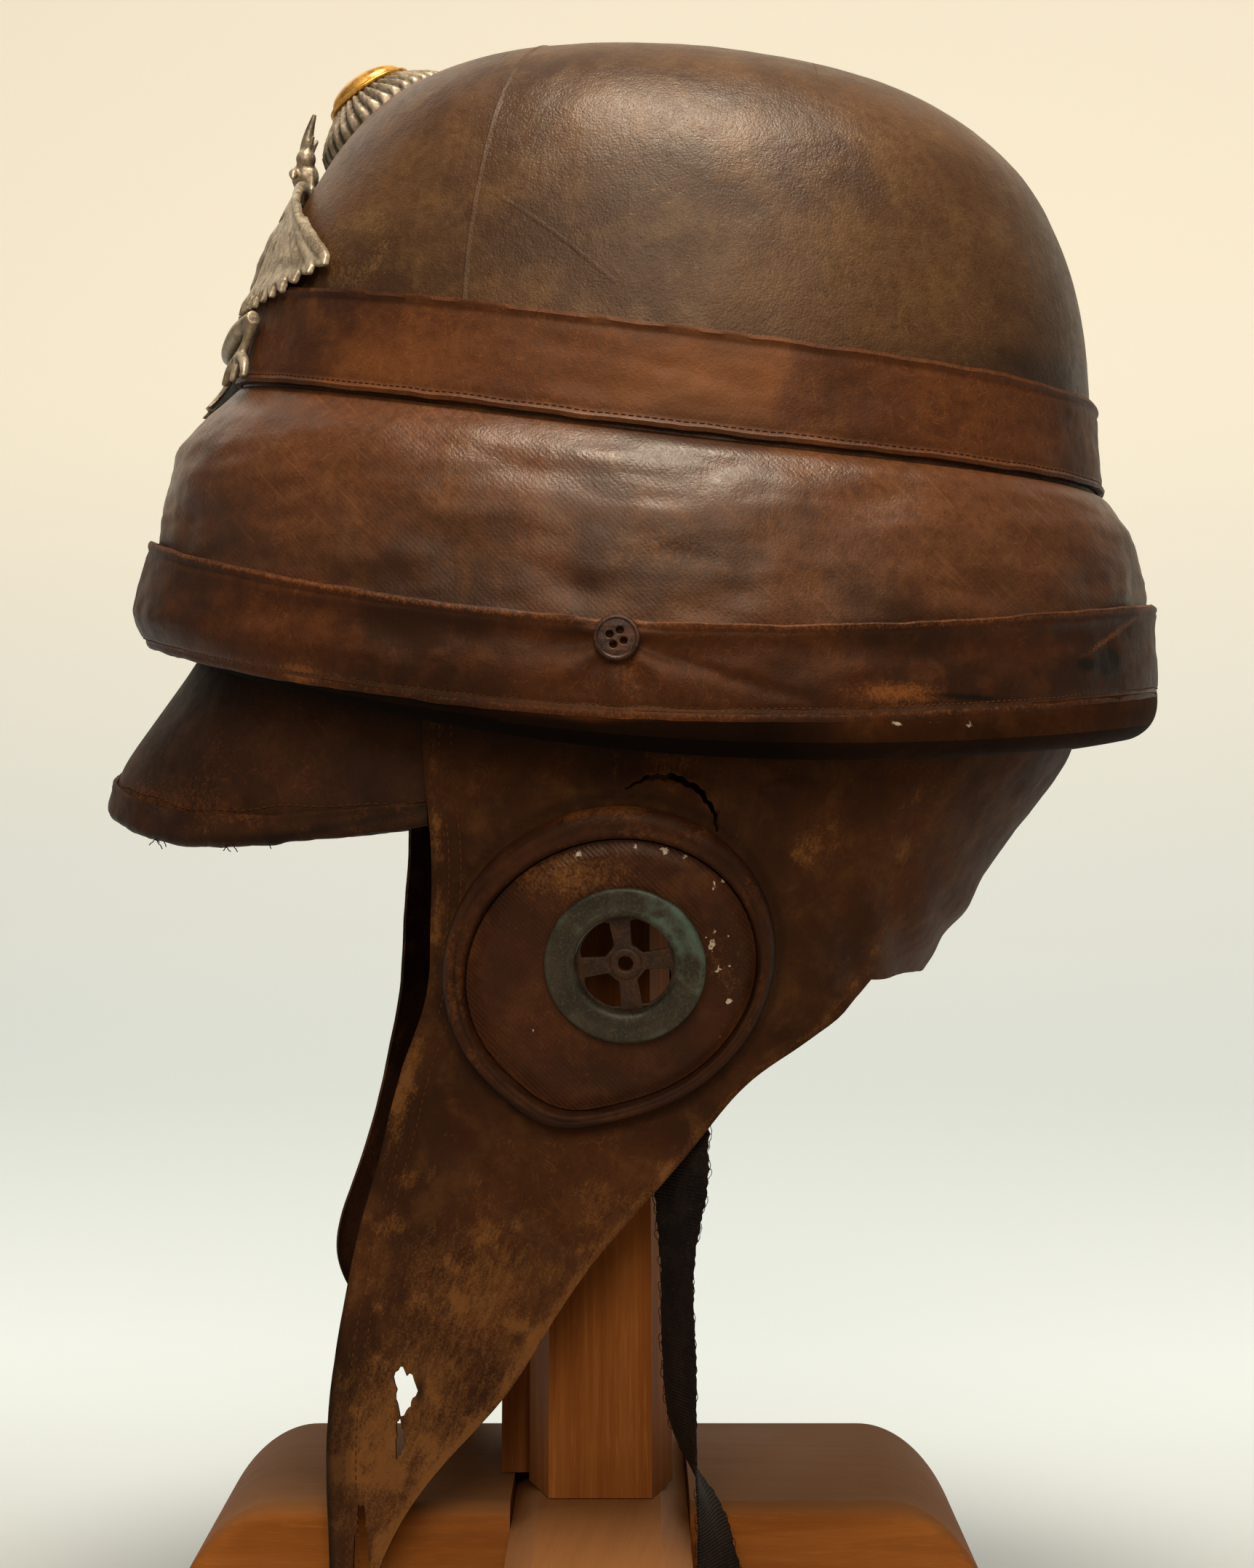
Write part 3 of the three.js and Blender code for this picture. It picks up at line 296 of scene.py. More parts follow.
def cap_side(y, z):
    """How far out the left side of the inner cap is."""
    row = cap_row(z)
    return cap_points(row, cap_angle(row, np.atleast_1d(y)))[:, 0]


NO_LENGTH = 1e-6


def grid_normals(points, closed=False):
    """Unit normals of a grid of points, away from the middle of the helmet."""
    if closed:
        along = np.roll(points, -1, axis=1) - np.roll(points, 1, axis=1)
    else:
        along = np.gradient(points, axis=1)
    normals = np.cross(along, np.gradient(points, axis=0))
    length = np.linalg.norm(normals, axis=2, keepdims=True)
    normals = np.where(length > NO_LENGTH, normals / np.maximum(length, NO_LENGTH), UP)
    if np.sum(normals[..., :2] * (points[..., :2] - MIDDLE)) <= 0:
        normals[length[..., 0] > NO_LENGTH] *= -1
    return normals


# Helpers: meshes


def grid_faces(cells, columns, count, closed):
    """Quads of a solid sheet whose inner points follow its count outer points."""
    i, j = np.nonzero(cells)
    k = (j + 1) % columns
    outer = np.stack([i * columns + j, i * columns + k, (i + 1) * columns + k, (i + 1) * columns + j], axis=1)
    inner = outer[:, ::-1] + count
    faces = [outer, inner]
    padded = np.pad(cells, ((1, 1), (1, 1)))
    if closed:
        padded[1:-1, 0] = cells[:, -1]
        padded[1:-1, -1] = cells[:, 0]
    neighbours = [(padded[:-2, 1:-1], 0, 1), (padded[2:, 1:-1], 2, 3), (padded[1:-1, :-2], 3, 0),
                  (padded[1:-1, 2:], 1, 2)]
    for beside, first, second in neighbours:
        edge = ~beside[i, j]
        a = outer[edge, first]
        b = outer[edge, second]
        faces.append(np.stack([b, a, a + count, b + count], axis=1))
    return np.concatenate(faces)


def sheet_mesh(outer, inner, closed=False, cells=None):
    """Points and quads of a sheet with thickness, between two grids."""
    rows, columns = outer.shape[:2]
    if cells is None:
        cells = np.ones((rows - 1, columns if closed else columns - 1), bool)
    points = np.concatenate([outer.reshape(-1, 3), inner.reshape(-1, 3)])
    return points, grid_faces(cells, columns, rows * columns, closed)


def loft_mesh(loops, closed=False):
    """Points and faces of a solid through loops of points, with its ends filled unless closed."""
    loops = np.asarray(loops)
    count, around = loops.shape[:2]
    last = count if closed else count - 1
    i, j = np.meshgrid(np.arange(last), np.arange(around), indexing="ij")
    n = (i + 1) % count
    k = (j + 1) % around
    quads = np.stack([i * around + j, i * around + k, n * around + k, n * around + j], axis=2)
    faces = quads.reshape(-1, 4).tolist()
    if not closed:
        faces.append(list(range(around))[::-1])
        faces.append(list(range((count - 1) * around, count * around)))
    return loops.reshape(-1, 3), faces


def joined(parts):
    """Several meshes as one."""
    faces = []
    count = 0
    for points, part_faces in parts:
        plain = np.asarray(part_faces, dtype=object).tolist()
        faces.extend([corner + count for corner in face] for face in plain)
        count += len(points)
    return np.concatenate([points for points, _ in parts]), faces


def on_side(side, mesh_data):
    """A mesh of the left side as it is, or mirrored to the right where side is negative."""
    points, faces = mesh_data
    return (points if side > 0 else np.asarray(points) * np.array([-1.0, 1.0, 1.0])), faces


def placed(mesh_data, origin, right, up, out):
    """A mesh carried to a place, with its X, Y and Z along right, up and out."""
    points, faces = mesh_data
    return origin + points[:, :1] * right + points[:, 1:2] * up + points[:, 2:] * out, faces


def add_piece(name, mesh_data, material, sharp=45.0):
    """An object at the origin, with smooth shading and its faces turned outwards."""
    points, faces = mesh_data
    mesh = bpy.data.meshes.new(name)
    faces = faces.tolist() if isinstance(faces, np.ndarray) else faces
    mesh.from_pydata((np.asarray(points, float) * MM).tolist(), [], faces)
    work = bmesh.new()
    work.from_mesh(mesh)
    bmesh.ops.remove_doubles(work, verts=work.verts, dist=1e-6)
    bmesh.ops.dissolve_degenerate(work, edges=work.edges, dist=1e-7)
    bmesh.ops.recalc_face_normals(work, faces=work.faces)
    work.to_mesh(mesh)
    work.free()
    mesh.shade_smooth()
    mesh.set_sharp_from_angle(angle=math.radians(sharp))
    mesh.materials.append(material)
    piece = bpy.data.objects.new(name, mesh)
    bpy.context.scene.collection.objects.link(piece)
    return piece


def dress(piece, slot, *nodes):
    """Makes a piece ride on the one body and stand for its nodes. slot is not used."""
    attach(piece, "root")
    if nodes:
        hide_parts(*nodes)


def places_of(piece):
    """A piece's points, in millimetres."""
    values = np.empty(len(piece.data.vertices) * 3)
    piece.data.vertices.foreach_get("co", values)
    return values.reshape(-1, 3) / MM


def mark(piece, **values):
    """Keeps numbers from 0 to 1 for each point, for the materials to read."""
    for name, value in values.items():
        attribute = piece.data.attributes.new(name, "FLOAT", "POINT")
        shares = np.clip(np.broadcast_to(value, len(piece.data.vertices)), 0, 1)
        attribute.data.foreach_set("value", shares.astype(np.float32))


def face_values(piece, name):
    """A vector for each face, such as its normal or its centre in metres."""
    values = np.empty(len(piece.data.polygons) * 3)
    piece.data.polygons.foreach_get(name, values)
    return values.reshape(-1, 3)


def reline(piece, chosen, *materials):
    """Gives further materials to a piece's faces. chosen counts on from its first one."""
    for material in materials:
        piece.data.materials.append(material)
    piece.data.polygons.foreach_set("material_index", chosen.astype(np.int32))


def read_line(knots, line, place):
    """The point of a line at a distance along it."""
    return np.array([np.interp(place, knots, line[:, axis]) for axis in range(3)])


def skin_of(mesh_data):
    points, faces = mesh_data
    return BVHTree.FromPolygons(np.asarray(points).tolist(), np.asarray(faces).tolist())


def cast(skin, start, direction):
    """Where a ray meets a skin, and the skin's outward normal there."""
    hit, normal, _, _ = skin.ray_cast(Vector(start), Vector(direction))
    normal = np.array(normal)
    if np.dot(normal, direction) > 0:
        normal = -normal
    return np.array(hit), normal


def swept(path, normals, profile):
    """A solid that follows a path; its profile is rows of across and lift."""
    path = np.asarray(path)
    across = unit(np.cross(normals, unit(np.gradient(path, axis=0))))
    loops = [path + across * side + np.asarray(normals) * lift for side, lift in profile]
    return loft_mesh(np.stack(loops, axis=1))


def tube(line, girths, hint, sides):
    """A round solid along a line. hint is a direction that the line never takes."""
    ahead = unit(np.gradient(line, axis=0))
    across = unit(np.cross(ahead, np.array(hint)))
    lift = np.cross(ahead, across)
    girths = np.broadcast_to(girths, len(line))[:, None]
    loops = [line + (across * math.cos(turn) + lift * math.sin(turn)) * girths for turn in turns(sides)]
    return loft_mesh(np.stack(loops, axis=1))


def limb(points, radii, hint, steps):
    """A round limb on a smooth curve through points, with its radius at each of them."""
    points = np.array(points)
    knots = chords(points)
    places = np.linspace(0, knots[-1], steps)
    return tube(smooth(knots, points, places), np.interp(places, knots, radii), hint, LIMB_SIDES)


STITCH_RINGS = ((-0.5, 0.0), (-0.38, 0.7), (0.0, 1.0), (0.38, 0.7), (0.5, 0.0))
STITCH_SIDES = 6
STITCH_WIDTH = 0.5
STITCH_LIFT = 0.02
LIMB_SIDES = 12


def stitches(path, normals, pitch, length, width, lift):
    """A row of short threads laid along a path."""
    path = np.asarray(path, float)
    knots = chords(path)
    points = []
    faces = []
    for middle in np.arange(pitch / 2, knots[-1], pitch):
        before, place, after = (read_line(knots, path, middle + step) for step in (-pitch / 2, 0, pitch / 2))
        normal = unit(read_line(knots, normals, middle))
        ahead = unit(after - before)
        across = np.cross(normal, ahead)
        start = len(points)
        for reach, girth in STITCH_RINGS:
            for side in turns(STITCH_SIDES):
                offset = (across * math.cos(side) + normal * math.sin(side)) * girth * width / 2
                points.append(place + normal * lift + ahead * reach * length + offset)
        for ring in range(len(STITCH_RINGS) - 1):
            for side in range(STITCH_SIDES):
                here = start + ring * STITCH_SIDES
                following = here + STITCH_SIDES
                turned = (side + 1) % STITCH_SIDES
                faces.append([here + side, here + turned, following + turned, following + side])
    return np.array(points), faces


def stitch_round(name, grids, row, pitch, length, material):
    """A row of stitches all round a strap, along one row of its points and normals."""
    path, line = (np.concatenate([grid[row], grid[row][:1]]) for grid in grids)
    threads = stitches(path, line, pitch, length, STITCH_WIDTH, STITCH_LIFT)
    dress(add_piece(name, threads, material), "band_leather")


# Helpers: materials


def tone(red, green, blue):
    """A colour given in screen values, from 0 to 255."""
    linear = []
    for value in (red, green, blue):
        share = value / 255
        linear.append(share / 12.92 if share <= 0.04045 else ((share + 0.055) / 1.055) ** 2.4)
    return (*linear, 1.0)


class Paint:
    """A material whose colour, roughness and relief are worked out by nodes."""

    def __init__(self, name, specular=None, tint=None):
        self.material = bpy.data.materials.new(name)
        self.material.use_nodes = True
        self.tree = self.material.node_tree
        self.shader = self.tree.nodes["Principled BSDF"]
        self.place = self.tree.nodes.new("ShaderNodeTexCoord").outputs["Object"]
        if specular is not None:
            self.shader.inputs["Specular IOR Level"].default_value = specular
        if tint is not None:
            self.shader.inputs["Specular Tint"].default_value = tint

    def feed(self, socket, value):
        if isinstance(value, bpy.types.NodeSocket):
            self.tree.links.new(value, socket)
        else:
            socket.default_value = value

    def node(self, kind, inputs, **settings):
        node = self.tree.nodes.new("ShaderNode" + kind)
        for key, value in settings.items():
            setattr(node, key, value)
        for key, value in inputs.items():
            self.feed(node.inputs[key], value)
        return node

    def noise(self, size, detail=3.0, rough=0.55, warp=0.0, place=None):
        """Noise from 0 to 1 with patches about size millimetres wide."""
        inputs = {"Vector": place or self.place, "Scale": 1 / (size * MM), "Detail": detail,
                  "Roughness": rough, "Distortion": warp}
        return self.node("TexNoise", inputs).outputs["Fac"]

    def lines(self, scale, warp, place=None):
        """Fine parallel lines, from 0 to 1."""
        inputs = {"Vector": place or self.place, "Scale": scale, "Distortion": warp, "Detail": 1.0}
        return self.node("TexWave", inputs, bands_direction="Z").outputs["Fac"]

    def stretched(self, x, y, z, turn=(0, 0, 0)):
        """Coordinates in which patches are x, y and z times as wide, along axes that are turned."""
        inputs = {"Vector": self.place, "Rotation": tuple(math.radians(angle) for angle in turn),
                  "Scale": (x, y, z)}
        return self.node("Mapping", inputs, vector_type="TEXTURE").outputs["Vector"]

    def part(self, vector, axis):
        return self.node("SeparateXYZ", {"Vector": vector}).outputs[axis]

    def band(self, value, low, high):
        inputs = {"Value": value, "From Min": low, "From Max": high}
        return self.node("MapRange", inputs, interpolation_type="SMOOTHSTEP").outputs["Result"]

    def math(self, operation, first, second=0.0):
        return self.node("Math", {0: first, 1: second}, operation=operation).outputs[0]

    def plus(self, first, second):
        return self.math("ADD", first, second)

    def times(self, first, second):
        return self.math("MULTIPLY", first, second)

    def swing(self, value, width):
        """A value from 0 to 1 as a swing round 0, width wide."""
        return self.times(self.math("SUBTRACT", value, 0.5), width)

    def mix(self, share, first, second):
        return self.node("Mix", {0: share, 6: first, 7: second}, data_type="RGBA").outputs[2]

    def cover(self, under, share, strength, over):
        """A colour in screen values laid over another, by share times strength."""
        return self.mix(self.times(share, strength), under, tone(*over))

    def mark(self, name):
        return self.node("Attribute", {}, attribute_name=name).outputs["Fac"]

    def relief(self, height, depth, under=None):
        inputs = {"Height": height, "Distance": depth * MM}
        if under is not None:
            inputs["Normal"] = under
        return self.node("Bump", inputs).outputs["Normal"]

    def finish(self, colour, roughness, normal=None, metallic=0.0):
        self.feed(self.shader.inputs["Base Color"], colour)
        self.feed(self.shader.inputs["Roughness"], roughness)
        self.feed(self.shader.inputs["Metallic"], metallic)
        if normal is not None:
            self.feed(self.shader.inputs["Normal"], normal)
        return self.material


SHEEN_TINT = (1.0, 0.86, 0.7, 1.0)
RUB_LEAN = -22
WEAVE_LEAN = -45
WEAVE_LINES = 260.0
RIB_LINES = 330.0
THREAD_SPECULAR = 0.15
WOOD_SPECULAR = 0.05

# Tones in screen values: flaked hide, dust with painted shade, bare wood with painted shade, unlit wood,
# verdigris and faded silk

FLAKED = (206, 186, 158)
DUST_AND_SHADE = (118, 82, 50)
BARE_AND_SHADED_WOOD = (104, 78, 52)
UNLIT_WOOD = (48, 26, 13)
GREEN = (88, 110, 95)
FADED = (96, 80, 70)


def leather(name, base, dark, light, worn, dull=0.52, glossy=0.38, grain=0.12, weave=0.0, streaks=0.0,
            sheen=0.25, rub_length=1.0):
    """Old hide: cloudy colour, rubbed spots, fine grain, and a sheen that comes and goes."""
    paint = Paint(name, sheen, SHEEN_TINT)
    broad = paint.noise(58, 4, 0.6, 0.5)
    cloudy = paint.noise(15, 5, 0.65, 0.3)
    fine = paint.noise(3.2, 4, 0.7)
    speck = paint.noise(0.7, 2, 0.6)
    rub = paint.noise(1.8, 5, 0.75, 0.0, paint.stretched(1, 1, rub_length, (RUB_LEAN, 0, 0)))
    colour = paint.mix(paint.band(broad, 0.36, 0.62), tone(*dark), tone(*base))
    colour = paint.cover(colour, paint.band(cloudy, 0.44, 0.74), 0.5, light)
    colour = paint.cover(colour, paint.band(fine, 0.55, 0.36), 0.35, dark)
    colour = paint.cover(colour, paint.mark("tan"), 0.75, worn)
    rubbed = paint.plus(paint.plus(paint.mark("wear"), paint.swing(rub, 1.3)), paint.swing(speck, 0.8))
    colour = paint.cover(colour, paint.band(rubbed, 0.3, 1.05), 0.8, worn)
    flaked = paint.plus(paint.mark("pale"), paint.swing(speck, 0.8))
    colour = paint.cover(colour, paint.band(flaked, 0.55, 0.75), 1.0, FLAKED)
    if streaks:
        lines = paint.noise(1.3, 3, 0.55, 0.0, paint.stretched(20, 20, 1, (WEAVE_LEAN, 0, 0)))
        gate = paint.times(paint.band(lines, 0.58, 0.7), paint.band(broad, 0.4, 0.6))
        colour = paint.cover(colour, gate, streaks, worn)
    contour = paint.math("ABSOLUTE", paint.math("SUBTRACT", paint.noise(11, 3, 0.6, 1.6), 0.5))
    scratch = paint.times(paint.band(contour, 0.010, 0.003), paint.band(broad, 0.42, 0.6))
    colour = paint.cover(colour, scratch, 0.25, worn)
    # The dark mark darkens the hide: dirt, holes and cracks, and painted shade where it is set
    dirt_and_painted_shade = paint.plus(paint.mark("dark"), paint.swing(cloudy, 0.35))
    colour = paint.cover(colour, paint.band(dirt_and_painted_shade, 0.1, 0.95), 0.92, [channel * 0.3 for channel in dark])
    shine = paint.plus(paint.mark("shine"), paint.swing(cloudy, 1.2))
    roughness = paint.math("SUBTRACT", dull, paint.times(paint.band(shine, 0.0, 1.0), dull - glossy))
    roughness = paint.plus(roughness, paint.swing(fine, 0.3))
    normal = paint.relief(paint.noise(34, 2, 0.45, 0.6), 0.7)
    for height, depth in ((cloudy, 0.2), (fine, grain * 1.6), (speck, grain)):
        normal = paint.relief(height, depth, normal)
    if weave:
        woven = paint.stretched(1, 1, 1, (WEAVE_LEAN, 0, 0))
        normal = paint.relief(paint.lines(WEAVE_LINES, 1.5, woven), weave, normal)
    return paint.finish(colour, roughness, normal)


def plain_thread(name, colour):
    paint = Paint(name, THREAD_SPECULAR)
    shade = paint.noise(1.5, 2, 0.6)
    return paint.finish(paint.mix(shade, tone(*(value * 0.55 for value in colour)), tone(*colour)), 0.8)


def wood(name, turn, base, light, dark, dust_and_shade=0.0):
    """Waxed pine, with dust and painted shade on what faces up. turn lays the grain, which runs along Z
    before it is turned.
    """
    paint = Paint(name, WOOD_SPECULAR, SHEEN_TINT)
    grain_place = paint.stretched(1, 1, 26, turn)
    broad = paint.noise(9, 4, 0.6, 1.2, grain_place)
    fine = paint.noise(1.1, 4, 0.65, 0.3, grain_place)
    cloudy = paint.noise(60, 3, 0.6)
    colour = paint.mix(paint.band(broad, 0.34, 0.66), tone(*dark), tone(*base))
    colour = paint.cover(colour, paint.band(fine, 0.5, 0.75), 0.5, light)
    colour = paint.cover(colour, paint.band(fine, 0.45, 0.25), 0.45, dark)
    colour = paint.cover(colour, paint.band(cloudy, 0.5, 0.75), 0.35, light)
    colour = paint.cover(colour, paint.mark("wear"), 0.6, BARE_AND_SHADED_WOOD)
    upward = paint.part(paint.node("NewGeometry", {}).outputs["Normal"], "Z")
    # Faces that look up get dust and painted shade
    dust_and_shade_mask = paint.plus(upward, paint.swing(cloudy, 0.5))
    colour = paint.cover(colour, paint.band(dust_and_shade_mask, 0.3, 0.9), dust_and_shade, DUST_AND_SHADE)
    colour = paint.cover(colour, paint.band(paint.part(paint.place, "Z"), 0.19, 0.27), 0.7, UNLIT_WOOD)
    roughness = paint.plus(0.5, paint.times(cloudy, 0.22))
    return paint.finish(colour, roughness, paint.relief(broad, 0.2, paint.relief(fine, 0.12)))


def metal(name, base, dark, light, rough, metallic, size, relief):
    """Cast metal with tarnish in its hollows, and painted shade where the dark mark is set. size is how wide
    its patches are.
    """
    paint = Paint(name)
    cloudy = paint.noise(size, 5, 0.65, 0.4)
    fine = paint.noise(0.9, 4, 0.7)
    colour = paint.mix(paint.band(cloudy, 0.36, 0.64), tone(*dark), tone(*base))
    colour = paint.cover(colour, paint.band(fine, 0.5, 0.7), 0.6, light)
    green = paint.plus(paint.mark("pale"), paint.swing(cloudy, 1.6))
    colour = paint.cover(colour, paint.band(green, 0.3, 1.0), 0.85, GREEN)
    colour = paint.cover(colour, paint.mark("dark"), 0.92, [channel * 0.36 for channel in dark])
    roughness = paint.plus(rough, paint.swing(cloudy, 0.5))
    return paint.finish(colour, roughness, paint.relief(fine, relief), metallic)


def ribbed_silk(name, base, dark):
    """Black silk with fine ribs across it, faded here and there."""
    paint = Paint(name, THREAD_SPECULAR)
    colour = paint.mix(paint.band(paint.noise(9, 4, 0.6), 0.38, 0.62), tone(*dark), tone(*base))
    colour = paint.cover(colour, paint.band(paint.noise(0.8, 3, 0.7), 0.55, 0.75), 0.4, FADED)
    return paint.finish(colour, 0.7, paint.relief(paint.lines(RIB_LINES, 0.4), 0.25))


CROWN_HIDE = leather("crown_hide", (86, 56, 31), (60, 36, 19), (108, 78, 45), (130, 96, 54),
                     dull=0.5, glossy=0.38, grain=0.16, sheen=0.36)
BAND_HIDE = leather("band_hide", (88, 47, 21), (56, 28, 13), (114, 67, 31), (148, 88, 42),
                    dull=0.56, glossy=0.44, grain=0.1, rub_length=1.6)
ROLL_HIDE = leather("roll_hide", (86, 48, 24), (56, 31, 16), (108, 67, 35), (134, 82, 42),
                    dull=0.48, glossy=0.34, grain=0.1, weave=0.015, streaks=0.22, sheen=0.38)
RIM_HIDE = leather("rim_hide", (76, 39, 17), (48, 24, 11), (98, 54, 24), (138, 80, 37),
                   dull=0.58, glossy=0.46, grain=0.1, sheen=0.2)
PEAK_HIDE = leather("peak_hide", (64, 35, 18), (44, 23, 12), (82, 48, 25), (118, 68, 32),
                    dull=0.62, glossy=0.52, grain=0.09, sheen=0.2)
FLAP_HIDE = leather("flap_hide", (76, 41, 18), (52, 27, 12), (102, 65, 31), (128, 82, 40),
                    dull=0.7, glossy=0.58, grain=0.12, sheen=0.15, rub_length=3.2)
EAR_HIDE = leather("ear_hide", (72, 36, 16), (48, 23, 10), (92, 52, 24), (122, 72, 34),
                   dull=0.62, glossy=0.5, grain=0.1, sheen=0.2)
ROUNDEL_HIDE = leather("roundel_hide", (80, 40, 18), (54, 26, 12), (102, 60, 29), (138, 90, 46),
                       dull=0.56, glossy=0.4, grain=0.09, weave=0.06)
STRIP_HIDE = leather("strip_hide", (84, 46, 23), (54, 30, 15), (104, 62, 32), (132, 80, 42),
                     dull=0.85, glossy=0.75, grain=0.08, sheen=0.05)
LINING = leather("lining_hide", (48, 28, 17), (34, 19, 11), (60, 37, 23), (74, 47, 30),
                 dull=0.9, glossy=0.82, grain=0.06, sheen=0.05)
THREAD = plain_thread("dark_thread", (46, 23, 10))
TAN_THREAD = plain_thread("tan_thread", (104, 60, 28))
RIBBON_THREAD = plain_thread("ribbon_thread", (40, 28, 20))
RIBBON_SILK = ribbed_silk("ribbon_silk", (34, 23, 16), (20, 13, 10))
SILVER = metal("tarnished_silver", (180, 162, 134), (136, 116, 90), (216, 202, 178), 0.42, 0.4, 5.0, 0.06)
GILT = metal("worn_gilt", (240, 182, 80), (176, 118, 46), (252, 216, 128), 0.34, 0.7, 6.0, 0.05)
VERDIGRIS = metal("verdigris_brass", (66, 56, 39), (46, 41, 30), (92, 86, 64), 0.5, 0.3, 7.0, 0.12)
WHEEL_METAL = metal("brown_brass", (70, 42, 20), (44, 26, 13), (94, 64, 35), 0.6, 0.3, 4.0, 0.12)
BUTTON_METAL = metal("rusty_button", (76, 42, 22), (44, 25, 14), (108, 70, 42), 0.48, 0.35, 4.0, 0.12)
BASE_WOOD = wood("bar_pine", (90, 0, 0), (152, 88, 36), (166, 102, 46), (136, 76, 29), 0.6)
CROSS_WOOD = wood("cross_pine", (0, 90, 0), (150, 88, 38), (164, 102, 48), (134, 76, 30), 0.62)
POST_WOOD = wood("post_pine", (0, 0, 0), (146, 86, 38), (168, 106, 50), (126, 70, 28))

# Crown, the strap round it, the roll and the rim band


def painted_end_shade(y):
    """Painted shade that darkens the front and the back, where less light falls."""
    return 0.36 * step_up(np.abs(y - MIDDLE[1]), 70, 130)


def top_edge(row, x, y, z):
    """A soft line just below the top edge of a strap."""
    return bump_at(z - height_on(row, x, y) + 0.8, 1.1)


def crown_rows(count):
    """Section rows up to the pole. Three mirrored rows past it keep the top round."""
    front, back, half_width, front_z, side_z, back_z, squareness = CROWN[-2:-5:-1].T
    past = np.stack([back, front, -half_width, back_z, side_z, front_z, squareness], axis=1)
    return refined(np.concatenate([CROWN, past]), count, len(CROWN) - 1)


CROWN_ROWS = 112
CROWN_AROUND = 220
crown_outer = section(crown_rows(CROWN_ROWS), turns(CROWN_AROUND))
crown_normals = grid_normals(crown_outer, closed=True)
crown_dents = 0.7 * cloud(crown_outer, 75, 1) + 0.22 * cloud(crown_outer, 19, 2)
crown_outer = crown_outer + crown_normals * crown_dents[..., None]
crown_skin = skin_of(sheet_mesh(crown_outer, crown_outer - crown_normals, closed=True))


def make_crown():
    inner = crown_outer - crown_normals * LEATHER
    piece = add_piece("crown_shell", sheet_mesh(crown_outer, inner, closed=True), CROWN_HIDE)
    _, y, z = places_of(piece).T
    rubbed_ring = 0.5 * bump_at(np.hypot(y + 72, z - 430) - 9, 6)
    mark(piece,
         wear=spots(((0.3, 33, 422, 24, 24), (0.12, 62, 440, 30, 30)), y, z) + rubbed_ring,
         # The crown is darker below the strap's top edge: painted shade under the strap
         dark=0.35 * step_up(-z, -404, -396) + painted_end_shade(y),
         shine=0.5 + 0.5 * step_up(z, 430, 490))
    dress(piece, "crown_leather", "crown")


# Distances from a strap's edge to its roll and to the line pressed beside it

EDGE_ROLL = 0.9
PRESSED_LINE = 2.6
PRESSED_WIDTH = 0.7
PRESSED_DEPTH = 0.45


def band_mesh(rows, count, around, raised, wrinkle, seed, puckers=None):
    """A strap with rolled edges. raised is how far its top and bottom edges stand up."""
    outer = section(refined(rows, count), turns(around))
    normals = grid_normals(outer, closed=True)
    share = np.linspace(0, 1, count)[:, None]
    height = np.linalg.norm(rows[0, 3:6] - rows[-1, 3:6]) / math.sqrt(3)
    middle = np.sin(share * math.pi)
    lift = cloud(outer * np.array([1.0, 1.0, 1.9]), 26, seed) * wrinkle * middle
    lift = lift + 0.25 * cloud(outer, 8, seed + 1) * middle
    for from_edge, proud in ((share * height, raised[0]), ((1 - share) * height, raised[1])):
        lift = lift + proud * bump_at(from_edge - EDGE_ROLL, EDGE_ROLL)
        lift = lift - PRESSED_DEPTH * bump_at(from_edge - PRESSED_LINE, PRESSED_WIDTH)
    if puckers is not None:
        lift = lift + puckers(outer)
    moved = outer + normals * lift[..., None]
    moved[..., 2] += 0.45 * cloud(outer, 14, seed + 2) * (1 - middle)
    return moved, outer - normals * BAND_LEATHER, normals


def make_crown_band():
    out = BAND_GAP + BAND_LEATHER
    rows = CROWN[[BAND_TOP_ROW, BAND_BOTTOM_ROW]] + np.array([-out, out, out, 0, 0, 0, 0])
    moved, inner, normals = band_mesh(rows, 26, 420, (0.5, 0.6), 0.55, 11)
    piece = add_piece("crown_strap", sheet_mesh(moved, inner, closed=True), BAND_HIDE)
    points = places_of(piece)
    x, y, z = points.T
    patch = spots([(1, 38, 386, 40, 14)], y, z) * (1 - step_up(y - 0.3 * (z - 386), 50, 57))
    mark(piece,
         tan=0.62 * patch + spots([(0.3, -58, 394, 24, 7)], y, z),
         wear=0.2 * patch + 0.08 + 0.2 * cloud(points, 30, 14) + 0.15 * top_edge(rows[0], x, y, z),
         dark=spots([(0.3, 75, 384, 22, 12)], y, z) + painted_end_shade(y),
         shine=0.4 + 0.3 * cloud(points, 25, 15))
    dress(piece, "band_leather", "crown_band")
    stitch_round("crown_strap_stitches", (moved, normals), -3, 2.2, 1.7, THREAD)


ROLL_ROWS = 84
ROLL_AROUND = 300


def roll_outer():
    """The roll's outer face, with its creases, and gathers above the rim."""
    outer = section(refined(ROLL, ROLL_ROWS), turns(ROLL_AROUND))
    share = np.linspace(0, 1, ROLL_ROWS)[:, None]
    free = step_up(share, 0.02, 0.12) * (1 - step_up(share, 0.46, 0.54))
    flat = outer * np.array([1.0, 1.0, 2.6])
    lift = 1.5 * cloud(flat, 62, 21) + 0.7 * cloud(flat, 24, 22) + 0.18 * cloud(outer, 9, 23)
    gathers = cloud(outer * np.array([1.0, 1.0, 0.35]), 11, 24) * 0.7 * bump_at(share - 0.42, 0.07)
    return outer + grid_normals(outer, closed=True) * ((lift + gathers) * free)[..., None]


def line_below(piece):
    """Gives a duller hide to the strip under the rim, and the darker lining to the underside, whose colour
    also paints the shade there.
    """
    x, y, z = (face_values(piece, "center") / MM).T
    strip = z < height_on(RIM[-1], x, y) + 2.0
    below = z < height_on(ROLL[ROLL_UNDERSIDE - 1], x, y) + 1.0
    reline(piece, strip.astype(int) + below, STRIP_HIDE, LINING)


# Pale flakes under the rim, as rows for spots

FLAKES = [(1, place, 290.5, 2.0, 1.0) for place in (84.0, 94.5, 104.0)]


